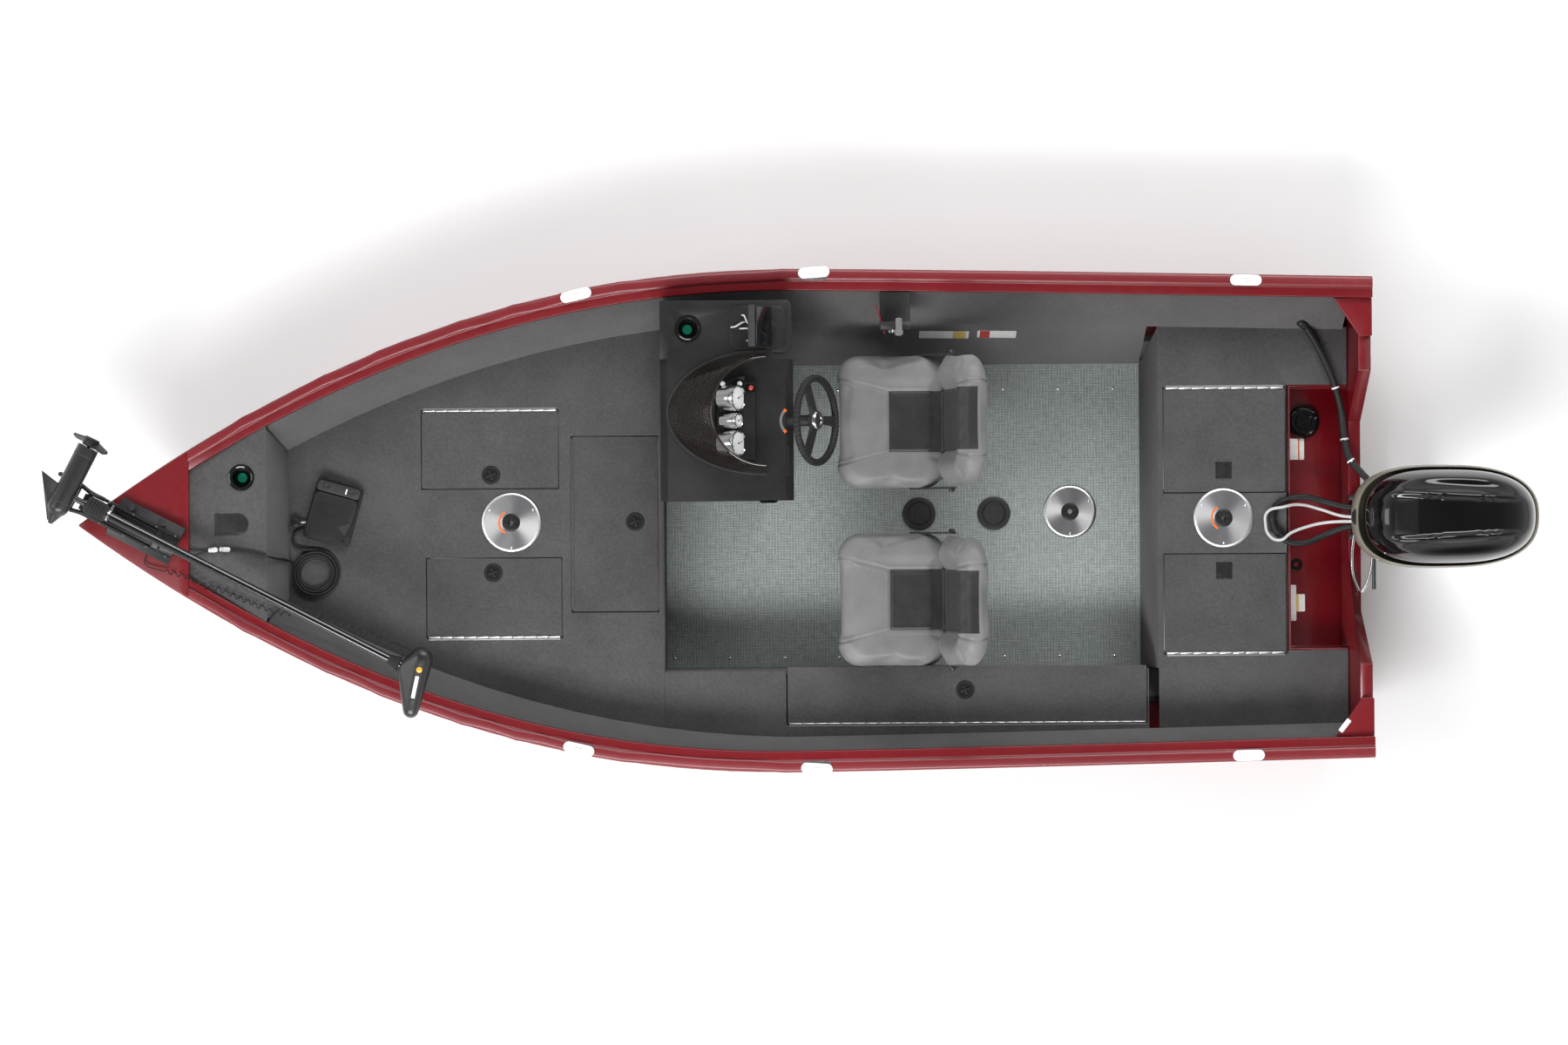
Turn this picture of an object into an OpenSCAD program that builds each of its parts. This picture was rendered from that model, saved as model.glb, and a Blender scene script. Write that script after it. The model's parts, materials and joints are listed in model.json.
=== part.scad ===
// Aluminium fishing boat with side console, outboard motor and bow trolling motor.
// X points to the bow, Y to port and Z up. The origin is on the waterline, on the
// centreline, at the widest station.

/* [Hull] */
// Distance from the widest station to the bow tip
bow_length = 2758; // [2300:1:3310]
// Distance from the widest station to the aft ends of the gunwales
stern_length = 2322; // [2130:1:2790]
// Half of the largest beam, over the gunwales
half_beam = 990; // [960:1:1190]
// Gunwale top above the waterline, amidships and aft
gunwale_z = 570; // [540:1:620]
// How much higher the sheer is at the bow tip
bow_rise = 110; // [60:1:160]
// Keel depth below the waterline
keel_depth = 190; // [160:1:230]
// Inset of the chine from the gunwale amidships
chine_inset = 200; // [160:1:230]
// Thickness of the hull plating with its core
hull_t = 25; // [18:1:30]

/* [Gunwale] */
// Width of the gunwale extrusion
gunwale_w = 82; // [70:1:100]
// Height of the gunwale extrusion
gunwale_h = 45; // [30:1:60]
// How far the gunwale overhangs the side plating
rail_overhang = 12; // [5:1:20]
// Width that the port liner takes at deck level, amidships
port_ledge = 45; // [40:1:60]
// Width that the starboard liner takes at deck level
starboard_ledge = 115; // [80:1:140]

/* [Decks] */
// Height of the cockpit floor's top
floor_z = 20; // [15:1:40]
// Height of the casting deck, the aft deck and the rod locker
deck_z = 350; // [330:1:380]
// Height of the bow platform
platform_z = 620; // [600:1:635]
// Thickness of the decks, the lids and the floor
deck_t = 20; // [15:1:25]
// Thickness of the carpeted side liners
liner_t = 12; // [8:1:16]
// Clearance all round each lid
lid_gap = 5; // [5:1:8]
// Aft edge of the casting deck
casting_deck_x = 480; // [430:1:560]
// Length of the bow platform's top, back from the bow tip
platform_len = 728; // [650:1:800]
// Length of the aft deck in front of the splash well
aft_deck_len = 519; // [480:1:620]
// Length of the splash well
well_len = 240; // [220:1:300]
// Half-width of the splash well
well_half = 530; // [480:1:600]
// Height of the splash well's floor
well_z = 225; // [200:1:260]
// Wall thickness of the storage bins
bin_t = 6; // [4:1:10]

/* [Transom] */
// Thickness of the transom
transom_t = 49; // [40:1:60]
// Height of the transom's top where the motor hangs
transom_z = 355; // [340:1:380]
// Rake of the transom
transom_rake = 5; // [2:1:10]

/* [Helm] */
// Distance of the console's outboard side from the gunwale's outer edge
console_inset = 130; // [100:1:160]
// Width of the console
console_w = 780; // [700:1:820]
// Height of the console's top
console_z = 700; // [660:1:730]
// Wall thickness of the console
console_t = 14; // [10:1:20]
// Outer diameter of the steering wheel
wheel_d = 355; // [300:1:360]
// Thickness of the steering wheel's rim
wheel_rim_d = 27; // [20:1:30]
// Tilt of the steering wheel's plane from vertical
wheel_tilt = 28; // [20:1:35]

/* [Seats] */
// Width of a seat cushion
seat_w = 530; // [450:1:560]
// Length of a seat cushion
seat_len = 470; // [420:1:500]
// Thickness of a seat cushion
seat_t = 110; // [90:1:120]
// Underside of the seat cushions above the waterline
seat_z = 395; // [385:1:405]
// Height of a seat back
back_h = 430; // [380:1:480]
// Thickness of a seat back
back_t = 95; // [70:1:110]
// Lean of a seat back from vertical
back_lean = 12; // [8:1:18]

/* [Outboard] */
// Length of the engine cowl
cowl_len = 736; // [640:1:800]
// Width of the engine cowl
cowl_w = 412; // [360:1:440]
// Height of the engine cowl
cowl_h = 400; // [340:1:440]
// Diameter of the propeller
prop_d = 320; // [280:1:340]

/* [Trolling motor] */
// Length from the lower unit to the head
trolling_len = 1534; // [1300:1:1650]
// Diameter of the lower unit
pod_d = 85; // [75:1:95]
// Length of the lower unit
pod_len = 300; // [240:1:330]
// Diameter of the trolling motor's propeller
trolling_prop_d = 230; // [200:1:250]

/* [Hidden] */
$fn = 48;
// Radial clearance of a running pin
fit = 0.06;
// Gap between curved faces that meet
seam = 0.5;

// ---- hull lines ----------------------------------------------------------------
chine_drop = 20;
chine_half = half_beam - chine_inset;
stem_start = 900;
chine_end = bow_length - 158;
shell_end = bow_length - 238;
stem_end = bow_length - 6;
tan_rake = tan(transom_rake);
transom_x = -(stern_length - 17);

// Half-breadth over the gunwales at station x
function beam(x) = x >= 0
    ? half_beam * (1 - pow(x / bow_length, 2.08))
    : half_beam - 44.5 * pow(-x / stern_length, 1.2);
// Height of the gunwale's top
function sheer(x) = gunwale_z + (x > 0 ? bow_rise * pow(x / bow_length, 2) : 0);
// Half-breadth and height of the chine
function chine_y(x) = x >= 0
    ? chine_half * (1 - pow(x / chine_end, 2.3))
    : chine_half - 22 * (-x / stern_length);
function chine_z(x) = -chine_drop
    + (x > 0 ? (keel_z(chine_end) + chine_drop) * pow(x / chine_end, 2.6) : 0);
// Height of the keel line and the stem
function keel_z(x) = -keel_depth + (x > stem_start
    ? (gunwale_z + bow_rise + keel_depth - gunwale_h)
        * pow((x - stem_start) / (bow_length - stem_start), 4)
    : 0);
// Half-breadth and height of the side plating's top
function plate_y(x) = max(beam(x) - rail_overhang, 2);
function plate_z(x) = sheer(x) - gunwale_h - seam;
// Inner face of the raked transom at height z
function transom_in(z) = transom_x + transom_t - (z - transom_z) * tan_rake;
// The aftmost station lies on the raked transom
function at_x(x, z) = x <= -stern_length + 1 ? transom_in(z) + fit : x;
// Half-breadth of the port and starboard liners at deck level
function port_y(x) = beam(x) - gunwale_w - port_ledge - (x > 0 ? 55 * x / 1980 : 0);
function starboard_y(x) = beam(x) - gunwale_w - starboard_ledge;

// Stations of the shells, closer together towards the bow
shell_stations = concat(
    [for (i = [0:7]) -stern_length + i * stern_length / 8],
    [for (i = [0:19]) shell_end * (1 - pow(1 - i / 19, 1.4))]
);

// Sum, middle and winding of a closed section
function total(v) = [for (p = v) 1] * v;
function middle(s) = total(s) / len(s);
function winding(s) = total([for (j = [0:len(s) - 1]) cross(s[j], s[(j + 1) % len(s)])]);
function reversed(s) = [for (j = [len(s) - 1:-1:0]) s[j]];

// Solid through a list of closed sections with equal point counts
module loft(sections) {
    inside_out = winding(sections[0]) * (middle(sections[1]) - middle(sections[0])) > 0;
    rings = inside_out ? [for (s = sections) reversed(s)] : sections;
    n = len(rings[0]);
    m = len(rings);
    points = [for (s = rings) for (p = s) p];
    sides = [for (i = [0:m - 2]) for (j = [0:n - 1])
        let (a = i * n + j, b = i * n + (j + 1) % n)
        for (t = [[a, b, a + n], [b, b + n, a + n]]) t];
    caps = [[for (j = [n - 1:-1:0]) j], [for (j = [0:n - 1]) (m - 1) * n + j]];
    polyhedron(points = points, faces = concat(sides, caps), convexity = 8);
}

// Section at station x from a list of [y, z] points
function section(x, yz) = [for (p = yz) [at_x(x, p[1]), p[0], p[1]]];

// Evenly spaced values from a to b
function steps(a, b, n) = [for (i = [0:n]) a + (b - a) * i / n];

// ---- hull ----------------------------------------------------------------------
bottom_t = 40;

function bottom_section(x) = section(x, [
    [-chine_y(x), chine_z(x)],
    [0, keel_z(x)],
    [chine_y(x), chine_z(x)],
    [chine_y(x) - hull_t, chine_z(x) + hull_t],
    [0, keel_z(x) + bottom_t],
    [-chine_y(x) + hull_t, chine_z(x) + hull_t]
]);

module hull_bottom() {
    color("dimgray") loft([for (x = shell_stations) bottom_section(x)]);
}

// Port side plating from the chine to the gunwale
function side_section(x) = section(x, [
    [chine_y(x), chine_z(x)],
    [plate_y(x), plate_z(x)],
    [plate_y(x) - hull_t, plate_z(x)],
    [chine_y(x) - hull_t, chine_z(x) + hull_t]
]);

module hull_side_port() {
    color("darkred") loft([for (x = shell_stations) side_section(x)]);
}

module hull_side_starboard() {
    mirror([0, 1, 0]) hull_side_port();
}

// Solid stem where both sides meet
function stem_y(x) = max(chine_y(x), 0.15 * plate_y(x));
function stem_z(x) = max(chine_z(x), keel_z(x) + 0.15 * (plate_z(x) - keel_z(x)));

module bow_stem() {
    color("darkred") loft([for (x = steps(shell_end, stem_end, 8)) section(x, [
        [-stem_y(x), stem_z(x)],
        [0, keel_z(x)],
        [stem_y(x), stem_z(x)],
        [plate_y(x), plate_z(x)],
        [-plate_y(x), plate_z(x)]
    ])]);
}

transom_half = chine_y(-stern_length);
transom_top = gunwale_z - gunwale_h;
motor_cut = 380;

module transom() {
    top_y = plate_y(-stern_length);
    outline = [
        [0, -keel_depth], [transom_half, -chine_drop], [top_y, transom_top],
        [well_half + 50, transom_top], [motor_cut, transom_z],
        [-motor_cut, transom_z], [-well_half - 50, transom_top],
        [-top_y, transom_top], [-transom_half, -chine_drop]
    ];
    color("darkred") loft([
        [for (p = outline) [transom_in(p[1]) - transom_t, p[0], p[1]]],
        [for (p = outline) [transom_in(p[1]), p[0], p[1]]]
    ]);
}

cap_x = bow_length - 428;

// Gunwale extrusion with a raised outer ridge
module gunwale_port() {
    ridge_w = gunwale_w / 2;
    ridge_h = 6;
    rail_stations = concat(steps(-stern_length, 0, 6), steps(cap_x / 22, cap_x, 21));
    color("firebrick") loft([for (x = rail_stations)
        let (y = beam(x), z = sheer(x))
        [for (p = [
            [y, z - gunwale_h], [y, z - 2 * ridge_h], [y - ridge_h, z],
            [y - ridge_w, z], [y - ridge_w - ridge_h, z - ridge_h],
            [y - gunwale_w, z - ridge_h], [y - gunwale_w, z - gunwale_h]
        ]) [x, p[0], p[1]]]
    ]);
}

module gunwale_starboard() {
    mirror([0, 1, 0]) gunwale_port();
}

// Cap over the bow, from side to side
module bow_cap() {
    color("firebrick") loft([for (x = steps(cap_x, stem_end, 10))
        let (y = max(beam(x), 4), z = sheer(x))
        [for (p = [
            [-y, z - gunwale_h], [y, z - gunwale_h], [y, z - 12],
            [y - min(6, y / 2), z], [-y + min(6, y / 2), z], [-y, z - 12]
        ]) [x, p[0], p[1]]]
    ]);
}

// Gussets where the gunwales meet the transom
cap_reach = 150;
cap_t = 18;

module transom_caps() {
    inner = beam(-stern_length) - gunwale_w;
    for (side = [-1, 1])
        color("firebrick") translate([0, 0, transom_top]) linear_extrude(cap_t)
            polygon([
                [-stern_length, side * inner],
                [-stern_length + cap_reach, side * inner],
                [-stern_length + transom_t, side * (inner - cap_reach)],
                [-stern_length, side * (inner - cap_reach)]
            ]);
}

// ---- liners and decks ------------------------------------------------------------
platform_x = bow_length - platform_len;
riser_foot = platform_x - 50;
well_x = transom_x + transom_t + well_len;
aft_deck_x = well_x + aft_deck_len;
aft_riser_foot = aft_deck_x + 42;
liner_aft = transom_x + transom_t + 20;
floor_port = half_beam - 390;
floor_starboard = half_beam - 356;
lock_t = 15;
lap = 3;

// Upper side liner between the gunwale and deck level
module liner(ledge_y) {
    stations = concat(steps(liner_aft, 0, 6), steps(platform_x / 12, platform_x, 11));
    loft([for (x = stations)
        let (top_y = beam(x) - gunwale_w, low_y = ledge_y(x), z = plate_z(x))
        [[x, top_y, z], [x, top_y + liner_t, z],
         [x, low_y + liner_t, deck_z], [x, low_y, deck_z]]
    ]);
}

module side_liner_port() {
    color("gray") liner(function (x) port_y(x));
}

// The starboard liner also carries the cockpit's wall down to the floor
module side_liner_starboard() {
    color("gray") {
        mirror([0, 1, 0]) liner(function (x) starboard_y(x));
        mirror([0, 1, 0]) loft([for (x = steps(aft_riser_foot, casting_deck_x, 6))
            let (y = starboard_y(x) + lap)
            [[x, floor_starboard, floor_z], [x, floor_starboard + lock_t, floor_z],
             [x, y + liner_t - 2 * lap, deck_z + lap], [x, y, deck_z + lap]]
        ]);
    }
}

module cockpit_floor() {
    color("slategray") difference() {
        translate([aft_riser_foot - lock_t, -floor_starboard - lock_t, floor_z - deck_t])
            cube([casting_deck_x + 2 * lock_t - aft_riser_foot,
                  floor_starboard + floor_port + 2 * lock_t, deck_t]);
        socket_hole(floor_seat, floor_z);
    }
}

// Deck outline between stations a and b, out to the liners
function deck_outline(a, b, n) = concat(
    [for (x = steps(a, b, n)) [x, port_y(x) + liner_t]],
    [for (x = steps(b, a, n)) [x, -starboard_y(x) - liner_t]]
);

// Lids, each as [aft x, fore x, starboard y, port y]
bow_starboard = [902, 1445, -448, -138];
bow_port = [891, 1428, 144, 458];
bow_centre = [505, 846, -340, 357];
aft_starboard = [well_x + 12, aft_deck_x - 24, -519, -104];
aft_port = [well_x + 12, aft_deck_x - 24, 146, 540];
locker_aft = aft_riser_foot + 10;
locker_fore = -10;
locker = [locker_aft, locker_fore, floor_port - 13, half_beam - 177];

// Opening for a lid, cut right through a deck
module lid_hole(r) {
    translate([r[0] - lid_gap, r[2] - lid_gap, deck_z - deck_t - 1])
        cube([r[1] - r[0] + 2 * lid_gap, r[3] - r[2] + 2 * lid_gap, deck_t + 2]);
}

// Lid panel flush with its deck
module lid_panel(r) {
    translate([r[0], r[2], deck_z - lid_t])
        cube([r[1] - r[0], r[3] - r[2], lid_t]);
}

lid_t = deck_t - 2;
knuckle_r = 4;
hinge_z = deck_z + 2;
bin_flange = 14;

// Knuckle of a piano hinge along X at half-breadth y
module knuckle_x(r, y) {
    translate([r[0] + 8, y, hinge_z]) rotate([0, 90, 0])
        cylinder(r = knuckle_r, h = r[1] - r[0] - 16, $fn = 24);
}

// Open-topped storage bin below a lid
module bin(r, floor_height) {
    wall = bin_t;
    top = deck_z - deck_t;
    difference() {
        translate([r[0] - wall, r[2] - wall, floor_height])
            cube([r[1] - r[0] + 2 * wall, r[3] - r[2] + 2 * wall, top - floor_height]);
        translate([r[0] + bin_flange, r[2] + bin_flange, floor_height + wall])
            cube([r[1] - r[0] - 2 * bin_flange, r[3] - r[2] - 2 * bin_flange, top]);
    }
}

socket_r = 9.7;
bushing_r = 34;
plate_h = 4;

// Round hole for a seat base's socket
module socket_hole(p, z) {
    translate([p[0], p[1], z - deck_t - 30]) cylinder(r = bushing_r + 2, h = deck_t + 60);
}

bow_seat = [1090, 0];
floor_seat = [-1170, -30];
aft_seat = [(well_x + aft_deck_x) / 2, 0];

module casting_deck() {
    color("dimgray") {
        difference() {
            translate([0, 0, deck_z - deck_t]) linear_extrude(deck_t)
                polygon(deck_outline(casting_deck_x, riser_foot + 15, 14));
            for (r = [bow_starboard, bow_port, bow_centre]) lid_hole(r);
            socket_hole(bow_seat, deck_z);
        }
        // Bulkhead down to the cockpit floor
        translate([casting_deck_x, -floor_starboard, floor_z])
            cube([lock_t, floor_starboard + floor_port, deck_z - deck_t - floor_z]);
    }
}

module bow_platform() {
    color("dimgray") {
        difference() {
            translate([0, 0, platform_z - deck_t]) linear_extrude(deck_t) polygon(concat(
                [for (x = steps(platform_x, cap_x, 6)) [x, beam(x) - gunwale_w - 2 * seam]],
                [for (x = steps(cap_x, platform_x, 6)) [x, -beam(x) + gunwale_w + 2 * seam]]
            ));
            translate([bow_cup[0], bow_cup[1], platform_z - deck_t - 1])
                cylinder(r = cup_r + lap_gap, h = deck_t + 2);
        }
        foot_p = port_y(riser_foot + lock_t) - 2;
        foot_s = starboard_y(riser_foot + lock_t) - 2;
        head = beam(platform_x + lock_t) - gunwale_w - 2;
        loft([
            [[riser_foot, -foot_s, deck_z], [riser_foot + lock_t, -foot_s, deck_z],
             [riser_foot + lock_t, foot_p, deck_z], [riser_foot, foot_p, deck_z]],
            [[platform_x, -head, platform_z - deck_t],
             [platform_x + lock_t, -head, platform_z - deck_t],
             [platform_x + lock_t, head, platform_z - deck_t],
             [platform_x, head, platform_z - deck_t]]
        ]);
    }
}

bow_bin_z = 85;
low_bin_z = floor_z + 5;

module storage_bins() {
    color("silver") {
        bin(bow_starboard, bow_bin_z);
        bin(bow_port, bow_bin_z);
        bin(bow_centre, low_bin_z);
        bin(aft_starboard, low_bin_z);
        bin(aft_port, low_bin_z);
    }
}

// Rod locker along the port side: inner wall and the deck around its lid
module rod_locker() {
    color("dimgray") {
        difference() {
            translate([0, 0, deck_z - deck_t]) linear_extrude(deck_t) polygon(concat(
                [for (x = steps(aft_riser_foot, casting_deck_x, 8))
                    [x, port_y(x) + liner_t]],
                [[casting_deck_x, floor_port], [aft_riser_foot, floor_port]]
            ));
            lid_hole(locker);
        }
        translate([aft_riser_foot, floor_port, floor_z])
            cube([casting_deck_x - aft_riser_foot, lock_t, deck_z - deck_t - floor_z]);
    }
}

module rod_locker_lid() {
    color("gray") {
        lid_panel(locker);
        knuckle_x(locker, locker[3]);
    }
}

// Aft deck with its lid openings and the riser down to the floor
module aft_deck() {
    side_aft = transom_in(deck_z - deck_t) + seam;
    color("dimgray") {
        difference() {
            translate([0, 0, deck_z - deck_t]) linear_extrude(deck_t)
                polygon(deck_outline(side_aft, aft_deck_x, 6));
            translate([side_aft - 1, -well_half, deck_z - deck_t - 1])
                cube([well_len + 1, 2 * well_half, deck_t + 2]);
            lid_hole(aft_starboard);
            lid_hole(aft_port);
            socket_hole(aft_seat, deck_z);
        }
        loft([
            [[aft_riser_foot - lock_t, -floor_starboard, floor_z],
             [aft_riser_foot, -floor_starboard, floor_z],
             [aft_riser_foot, floor_port, floor_z],
             [aft_riser_foot - lock_t, floor_port, floor_z]],
            [[aft_deck_x - lock_t, -starboard_y(aft_deck_x), deck_z - deck_t],
             [aft_deck_x, -starboard_y(aft_deck_x), deck_z - deck_t],
             [aft_deck_x, floor_port, deck_z - deck_t],
             [aft_deck_x - lock_t, floor_port, deck_z - deck_t]]
        ]);
    }
}

// Open well in front of the transom
module splash_well() {
    wall = 8;
    color("darkred") difference() {
        translate([0, well_half, 0]) rotate([90, 0, 0]) linear_extrude(2 * well_half)
            polygon([
                [transom_in(well_z - wall) + seam, well_z - wall],
                [transom_in(deck_z) + seam, deck_z],
                [well_x, deck_z], [well_x, well_z - wall]
            ]);
        translate([transom_x, -well_half + wall, well_z])
            cube([well_x - wall - transom_x, 2 * well_half - 2 * wall, deck_z]);
    }
}

module bow_hatch_starboard() {
    color("gray") {
        lid_panel(bow_starboard);
        knuckle_x(bow_starboard, bow_starboard[2]);
    }
}

module bow_hatch_port() {
    color("gray") {
        lid_panel(bow_port);
        knuckle_x(bow_port, bow_port[3]);
    }
}

module bow_hatch_centre() {
    color("gray") {
        lid_panel(bow_centre);
        translate([bow_centre[1], bow_centre[2] + 8, hinge_z]) rotate([-90, 0, 0])
            cylinder(r = knuckle_r, h = bow_centre[3] - bow_centre[2] - 16, $fn = 24);
    }
}

module aft_hatch_starboard() {
    color("gray") {
        lid_panel(aft_starboard);
        knuckle_x(aft_starboard, aft_starboard[2]);
    }
}

module aft_hatch_port() {
    color("gray") {
        lid_panel(aft_port);
        knuckle_x(aft_port, aft_port[3]);
    }
}

// ---- deck fittings -----------------------------------------------------------------
socket_depth = 70;

// Brushed plate with a bushing that takes a seat post's pin
module seat_base(p, z, d) {
    translate([p[0], p[1], z]) difference() {
        union() {
            cylinder(d = d, h = plate_h, $fn = 64);
            translate([0, 0, -socket_depth]) cylinder(r = bushing_r, h = socket_depth + 9);
        }
        translate([0, 0, -socket_depth + 6]) cylinder(r = socket_r, h = socket_depth + 9);
    }
}

module seat_bases() {
    color("silver") {
        seat_base(bow_seat, deck_z, 237);
        seat_base(floor_seat, floor_z, 214);
        seat_base(aft_seat, deck_z, 237);
    }
}

module floor_caps() {
    color("black") {
        for (x = [-553, -859])
            translate([x, -25, floor_z]) cylinder(d = 135, h = 6);
        translate([well_x - 80, -385, well_z]) cylinder(d = 130, h = 10);
    }
}

console_y = -(half_beam - console_inset);
helm_y = console_y + 471;
bow_cup = [platform_x + 96, -183];
console_cup = [370, console_y + 110];
cup_r = 42;
cup_wall = 3;
cup_depth = 75;
lap_gap = 1;

// Cup with a flange, let into a panel whose top is at z
module cup(p, z) {
    translate([p[0], p[1], z]) difference() {
        union() {
            cylinder(r = cup_r + 9, h = cup_wall);
            translate([0, 0, -cup_depth]) cylinder(r = cup_r, h = cup_depth + 0.5);
        }
        translate([0, 0, cup_wall - cup_depth]) cylinder(r = cup_r - cup_wall, h = cup_depth + 5);
    }
}

module cup_holders() {
    color("black") {
        cup(bow_cup, platform_z);
        cup(console_cup, console_z);
    }
}

module cleats() {
    color("white") for (side = [-1, 1]) for (x = [-stern_length + 500, -123, 812]) {
        slope = atan2(beam(x + 60) - beam(x - 60), 120);
        translate([x, side * (beam(x) - 22), sheer(x + 60)])
            rotate([0, 0, side * slope]) linear_extrude(5) hull() {
                translate([38, 0]) circle(d = 40);
                translate([-38, 0]) circle(d = 40);
            }
    }
}

// ---- helm ------------------------------------------------------------------------
console_fore = casting_deck_x;
console_aft = -40;
console_port_y = console_y + console_w;

// The face that carries the steering column is square to the wheel's axis
face_drop = 60;
wing_h = 165;

// Console profile in X and Z
function console_profile(inset) = [
    [console_fore - inset, floor_z + (inset > 0 ? -5 : 0)],
    [console_fore - inset, console_z - 40 - inset / 2],
    [console_fore - 30 - inset / 2, console_z - inset],
    [console_aft + face_drop * tan(wheel_tilt) + inset, console_z - inset],
    [console_aft + inset, console_z - face_drop],
    [console_aft + 30 + (inset > 0 ? -80 : 0), console_z - 150],
    [70 + (inset > 0 ? -180 : 0), floor_z + (inset > 0 ? -5 : 0)]
];

module console_body() {
    lower_s = -floor_starboard + 2;
    color("dimgray") difference() {
        union() {
            translate([0, console_port_y, 0]) rotate([90, 0, 0])
                linear_extrude(console_port_y - lower_s) polygon(console_profile(0));
            translate([40, console_y, console_z - wing_h])
                cube([console_fore - 40, lower_s - console_y, wing_h]);
        }
        translate([0, console_port_y - console_t, 0]) rotate([90, 0, 0])
            linear_extrude(console_port_y - lower_s - 2 * console_t)
                polygon(console_profile(console_t));
        translate([console_cup[0], console_cup[1], console_z - cup_depth - 5])
            cylinder(r = cup_r + lap_gap, h = cup_depth + 15);
    }
}

dash_tilt = 57;
dash_x = 170;

module dash_panel() {
    color("black") translate([dash_x, helm_y, console_z]) {
        translate([-60, -150, 0]) cube([150, 300, 30]);
        for (g = [[-88, 50], [0, 30], [88, 50]])
            translate([30, g[0], 44]) rotate([0, -dash_tilt, 0])
                cylinder(r = g[1], h = 30);
    }
}

module windscreen() {
    base_z = console_z;
    rise = 130;
    half = 242;
    t = 5;
    n = 24;
    function arc(a, grow, level) = [
        67 + (1 - 0.45 * level) * (388 + grow) * sin(a),
        helm_y - 34 + (1 - 0.12 * level) * (half + grow) * cos(a)
    ];
    color([0.2, 0.2, 0.2, 0.5]) loft([for (i = [0:n])
        let (a = 180 * i / n,
             o = arc(a, 0, 0), q = arc(a, -t, 0),
             u = arc(a, 0, 1), v = arc(a, -t, 1))
        [[o[0], o[1], base_z], [q[0], q[1], base_z],
         [v[0], v[1], base_z + rise], [u[0], u[1], base_z + rise]]
    ]);
}

module display_unit() {
    color("black") translate([60, console_y + 105, console_z]) {
        cylinder(r = 30, h = 20);
        translate([0, 0, 20]) rotate([0, 35, 0])
            translate([-20, -80, 0]) cube([35, 160, 110]);
    }
}

wheel_c = [-128, helm_y, 735];
hub_r = 33;
shaft_r = 12;

// Turns local +Z onto the wheel's axis, which points forward and down
module wheel_frame() {
    translate(wheel_c) rotate([0, 90 + wheel_tilt, 0]) children();
}

column_r = 22;
column_gap = 28;
column_end = (console_aft - wheel_c[0]) * cos(wheel_tilt)
    + (wheel_c[2] - console_z + face_drop) * sin(wheel_tilt);

module steering_column() {
    color("black") wheel_frame() translate([0, 0, column_gap]) difference() {
        cylinder(r = column_r, h = column_end - column_gap);
        translate([0, 0, -1]) cylinder(r = shaft_r + fit, h = 45);
    }
}

module steering_wheel() {
    rim_r = wheel_rim_d / 2;
    ring_r = wheel_d / 2 - rim_r;
    color("black") wheel_frame() {
        rotate_extrude($fn = 72) translate([ring_r, 0]) circle(r = rim_r, $fn = 24);
        translate([0, 0, -4]) cylinder(r = hub_r, h = 26);
        cylinder(r = shaft_r, h = 60);
        for (a = [0, 120, 240]) rotate([0, 0, a])
            translate([hub_r - 8, -14, 0]) cube([ring_r - hub_r + 8, 28, 10]);
    }
}

throttle_x = -442;
throttle_y = -(half_beam - 225);

module throttle_control() {
    rail_y = beam(throttle_x - 60) - gunwale_w - seam;
    color("black") {
        translate([throttle_x - 60, -rail_y, 535])
            cube([120, rail_y + throttle_y, 22]);
        translate([throttle_x - 60, throttle_y - 12, 535]) cube([120, 30, 95]);
        translate([throttle_x - 10, throttle_y + 18, 600]) rotate([-90, 0, 0])
            cylinder(r = 20, h = 10);
        translate([throttle_x - 22, throttle_y + 28, 590]) cube([24, 12, 125]);
    }
}

// ---- seats -------------------------------------------------------------------------
seat_x = -540;
passenger_y = half_beam - 674;
post_r = 28;
seat_front = 326;
plate_gap = 5;
swivel_t = 20;
arm_t = 8;
pin_r = 7;
back_w = seat_w - 20;
back_foot = 20;
back_ahead = 45;
// Hinge of the seat back, from the swivel's axis and the cushion's underside
back_hinge_x = seat_front - seat_len - 20 + 44;
back_hinge_z = seat_t + 56;

// Pedestals from the floor to the swivels
module seat_posts() {
    color("black") for (y = [helm_y, passenger_y]) translate([seat_x, y, floor_z]) {
        cylinder(r = 110, h = 8);
        cylinder(r = post_r, h = seat_z - floor_z - swivel_t - plate_gap);
    }
}

// Rounded slab in plan
module rounded_slab(x0, x1, w, h, r) {
    linear_extrude(h) hull() {
        for (x = [x0 + r, x1 - r]) for (y = [-w / 2 + r, w / 2 - r])
            translate([x, y]) circle(r = r, $fn = 32);
    }
}

// Cushion on its swivel plate, with the arms that carry the back
module seat_cushion(y) {
    rear = seat_front - seat_len + 44;
    color("gray") translate([seat_x, y, seat_z]) {
        rounded_slab(rear, seat_front, seat_w, seat_t, 90);
        translate([0, 0, -swivel_t]) cylinder(r = 90, h = swivel_t);
        for (side = [-1, 1]) {
            translate([0, side * (back_w / 2 + plate_gap + arm_t / 2) + arm_t / 2, 0])
                rotate([90, 0, 0]) linear_extrude(arm_t) polygon([
                    [rear + 60, 5], [rear + 140, 5], [rear + 140, 40],
                    [back_hinge_x + 16, back_hinge_z + 14],
                    [back_hinge_x - 16, back_hinge_z + 14],
                    [back_hinge_x - 16, back_hinge_z - 16]
                ]);
            translate([back_hinge_x, side * (back_w / 2 + plate_gap), back_hinge_z])
                rotate([side * 90, 0, 0]) cylinder(r = pin_r, h = 25);
        }
    }
}

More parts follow.
